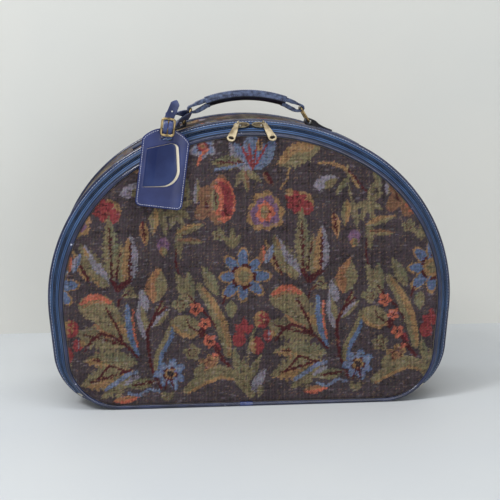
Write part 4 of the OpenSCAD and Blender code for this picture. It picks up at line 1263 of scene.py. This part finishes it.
# ---------- Tag strap and buckle ----------
# A narrow strap goes through the tag and round the side of the left ring. Its pointed end
# is drawn up through a rounded brass buckle and tucked behind the buckle's upper bar.
line, bar_y = [], 19.5
for s, f in ((22.1, 92.2), (19, 92.2), (14, 92.1), (9, 91.9), (4, 91.5), (0.6, 91.3)):
    a = math.radians(16)
    line.append((*at(strap_lean, s * math.sin(a), bar_y + s * math.cos(a), f), *at(24, 1, 0, 0)))
for y, f in ((17.4, 92.0), (15, 93.8), (12, 94.9), (9, 94.7), (6.6, 93.4), (4.4, 91.6),
             (1.8, 90.9), (0, 89.8), (-0.6, 88), (-0.4, 85)):
    line.append((*at(strap_lean, 0, y, f), *at(strap_lean, 1, 0, 0)))
line = [(*p[:3], p[3] - slot_x, 0, p[5] - slot_z) for p in line]
line += [(-92, -82, 309.5, 0.97, 0, -0.05), (-88.5, -76, 316, 0.93, 0, 0.2),
         (-81.5, -62, 322.5, 0.85, 0, 0.45), (-72.5, -38, 325.8, 0.7, 0, 0.7)]
mid, along_bar, off = (-67.3, -12.1, 326.8), (0.511, 0, 0.86), (-0.86, 0, 0.511)
for a in np.radians((-90, -45, 0, 45, 90)):
    spot = [m + 2.35 * (o * math.sin(a) + b * math.cos(a)) for m, o, b in zip(mid, off, (0, 1, 0))]
    line.append((*spot, *along_bar))
line += [(-72.5, -38, 330.6, 0.75, 0, 0.66), (-80, -66, 332.6, 0.93, 0, 0.3),
         (*at(strap_lean, 1.6, 25.6, 86), 0.98, 0, -0.1),
         (*at(strap_lean, 0.7, 22.5, 89.2), 0.99, 0, -0.14),
         (*at(strap_lean, 0.2, 18.6, 90.0), 0.99, 0, -0.14)]
line = smooth_path(line, 0.9)
plain, split = np.array(flat(10, 1.4, 0.15)), np.array(flat(10, 1.4, 0.5))
split[10, 1] -= 1.3
split[[9, 11], 0] *= 0.75
lift = np.clip((line[:, 2] - 309) / 2, 0, 1) * np.clip((327 - line[:, 2]) / 2, 0, 1) \
    * (line[:, 1] < -90.5)
shapes = plain + lift[:, None, None] * (split - plain)
gone = np.r_[0, np.cumsum(np.linalg.norm(np.diff(line[:, :3], axis=0), axis=1))]
strap_hide = material("strap_leather", 0.32, ((28, 38, 78), (66, 78, 122)), 60, (600, 0.1, 0.4),
                      Specular_IOR_Level=0.4)
strap = swept("strap", line[:, :3], line[:, 3:], shapes, strap_hide, 40,
              size=np.interp(gone, (0, 1.1, 4.2), (0.06, 0.42, 1)))
a = math.radians(16)
punch = fresh(bpy.ops.mesh.primitive_cylinder_add, vertices=20, radius=0.95 * mm, depth=8 * mm,
              rotation=(math.pi / 2, 0, 0),
              location=[c * mm for c in at(strap_lean, 8.8 * math.sin(a),
                                           bar_y + 8.8 * math.cos(a), 92)])
leave(punch, "punch")
hole = strap.modifiers.new("hole", "BOOLEAN")
hole.operation, hole.solver, hole.object = "DIFFERENCE", "EXACT", punch
bpy.context.view_layer.objects.active = strap
bpy.ops.object.modifier_apply(modifier="hole")
bpy.data.objects.remove(punch)
dressed(strap, "ring_left", ["tag_strap"])
path = [at(strap_lean, x, y + 10.5, 93.3) for x, y in frame_path(6.75, 9, 2.8)]
made = swept("buckle_frame", path, (0, -1, 0), rod(0.95, 14, 1.4), brass, closed=True)
dressed(made, "ring_left", ["tag_buckle"])
knuckle = [at(strap_lean, 0, bar_y + 1.75 * math.sin(a), 93.3 + 1.75 * math.cos(a))
           for a in circle(24)]
knuckle = swept("knuckle", knuckle, np.subtract(at(strap_lean, 1, 0, 0), (slot_x, 0, slot_z)),
                rod(0.5, 10), brass, closed=True)
tongue = swept("tongue", [at(strap_lean, 0, y, 93.35 + (bar_y - y) * 0.113)
                          for y in (18.2, 12, 6, 3, 1.4, 0.7)],
               (0, -1, 0), rod(0.68, 12), brass, size=[1, 1, 1, 1, 0.9, 0.5])
made = joined("buckle_tongue", [knuckle, tongue], brass, 45)
dressed(made, "tag_prong", ["tag_prong"])
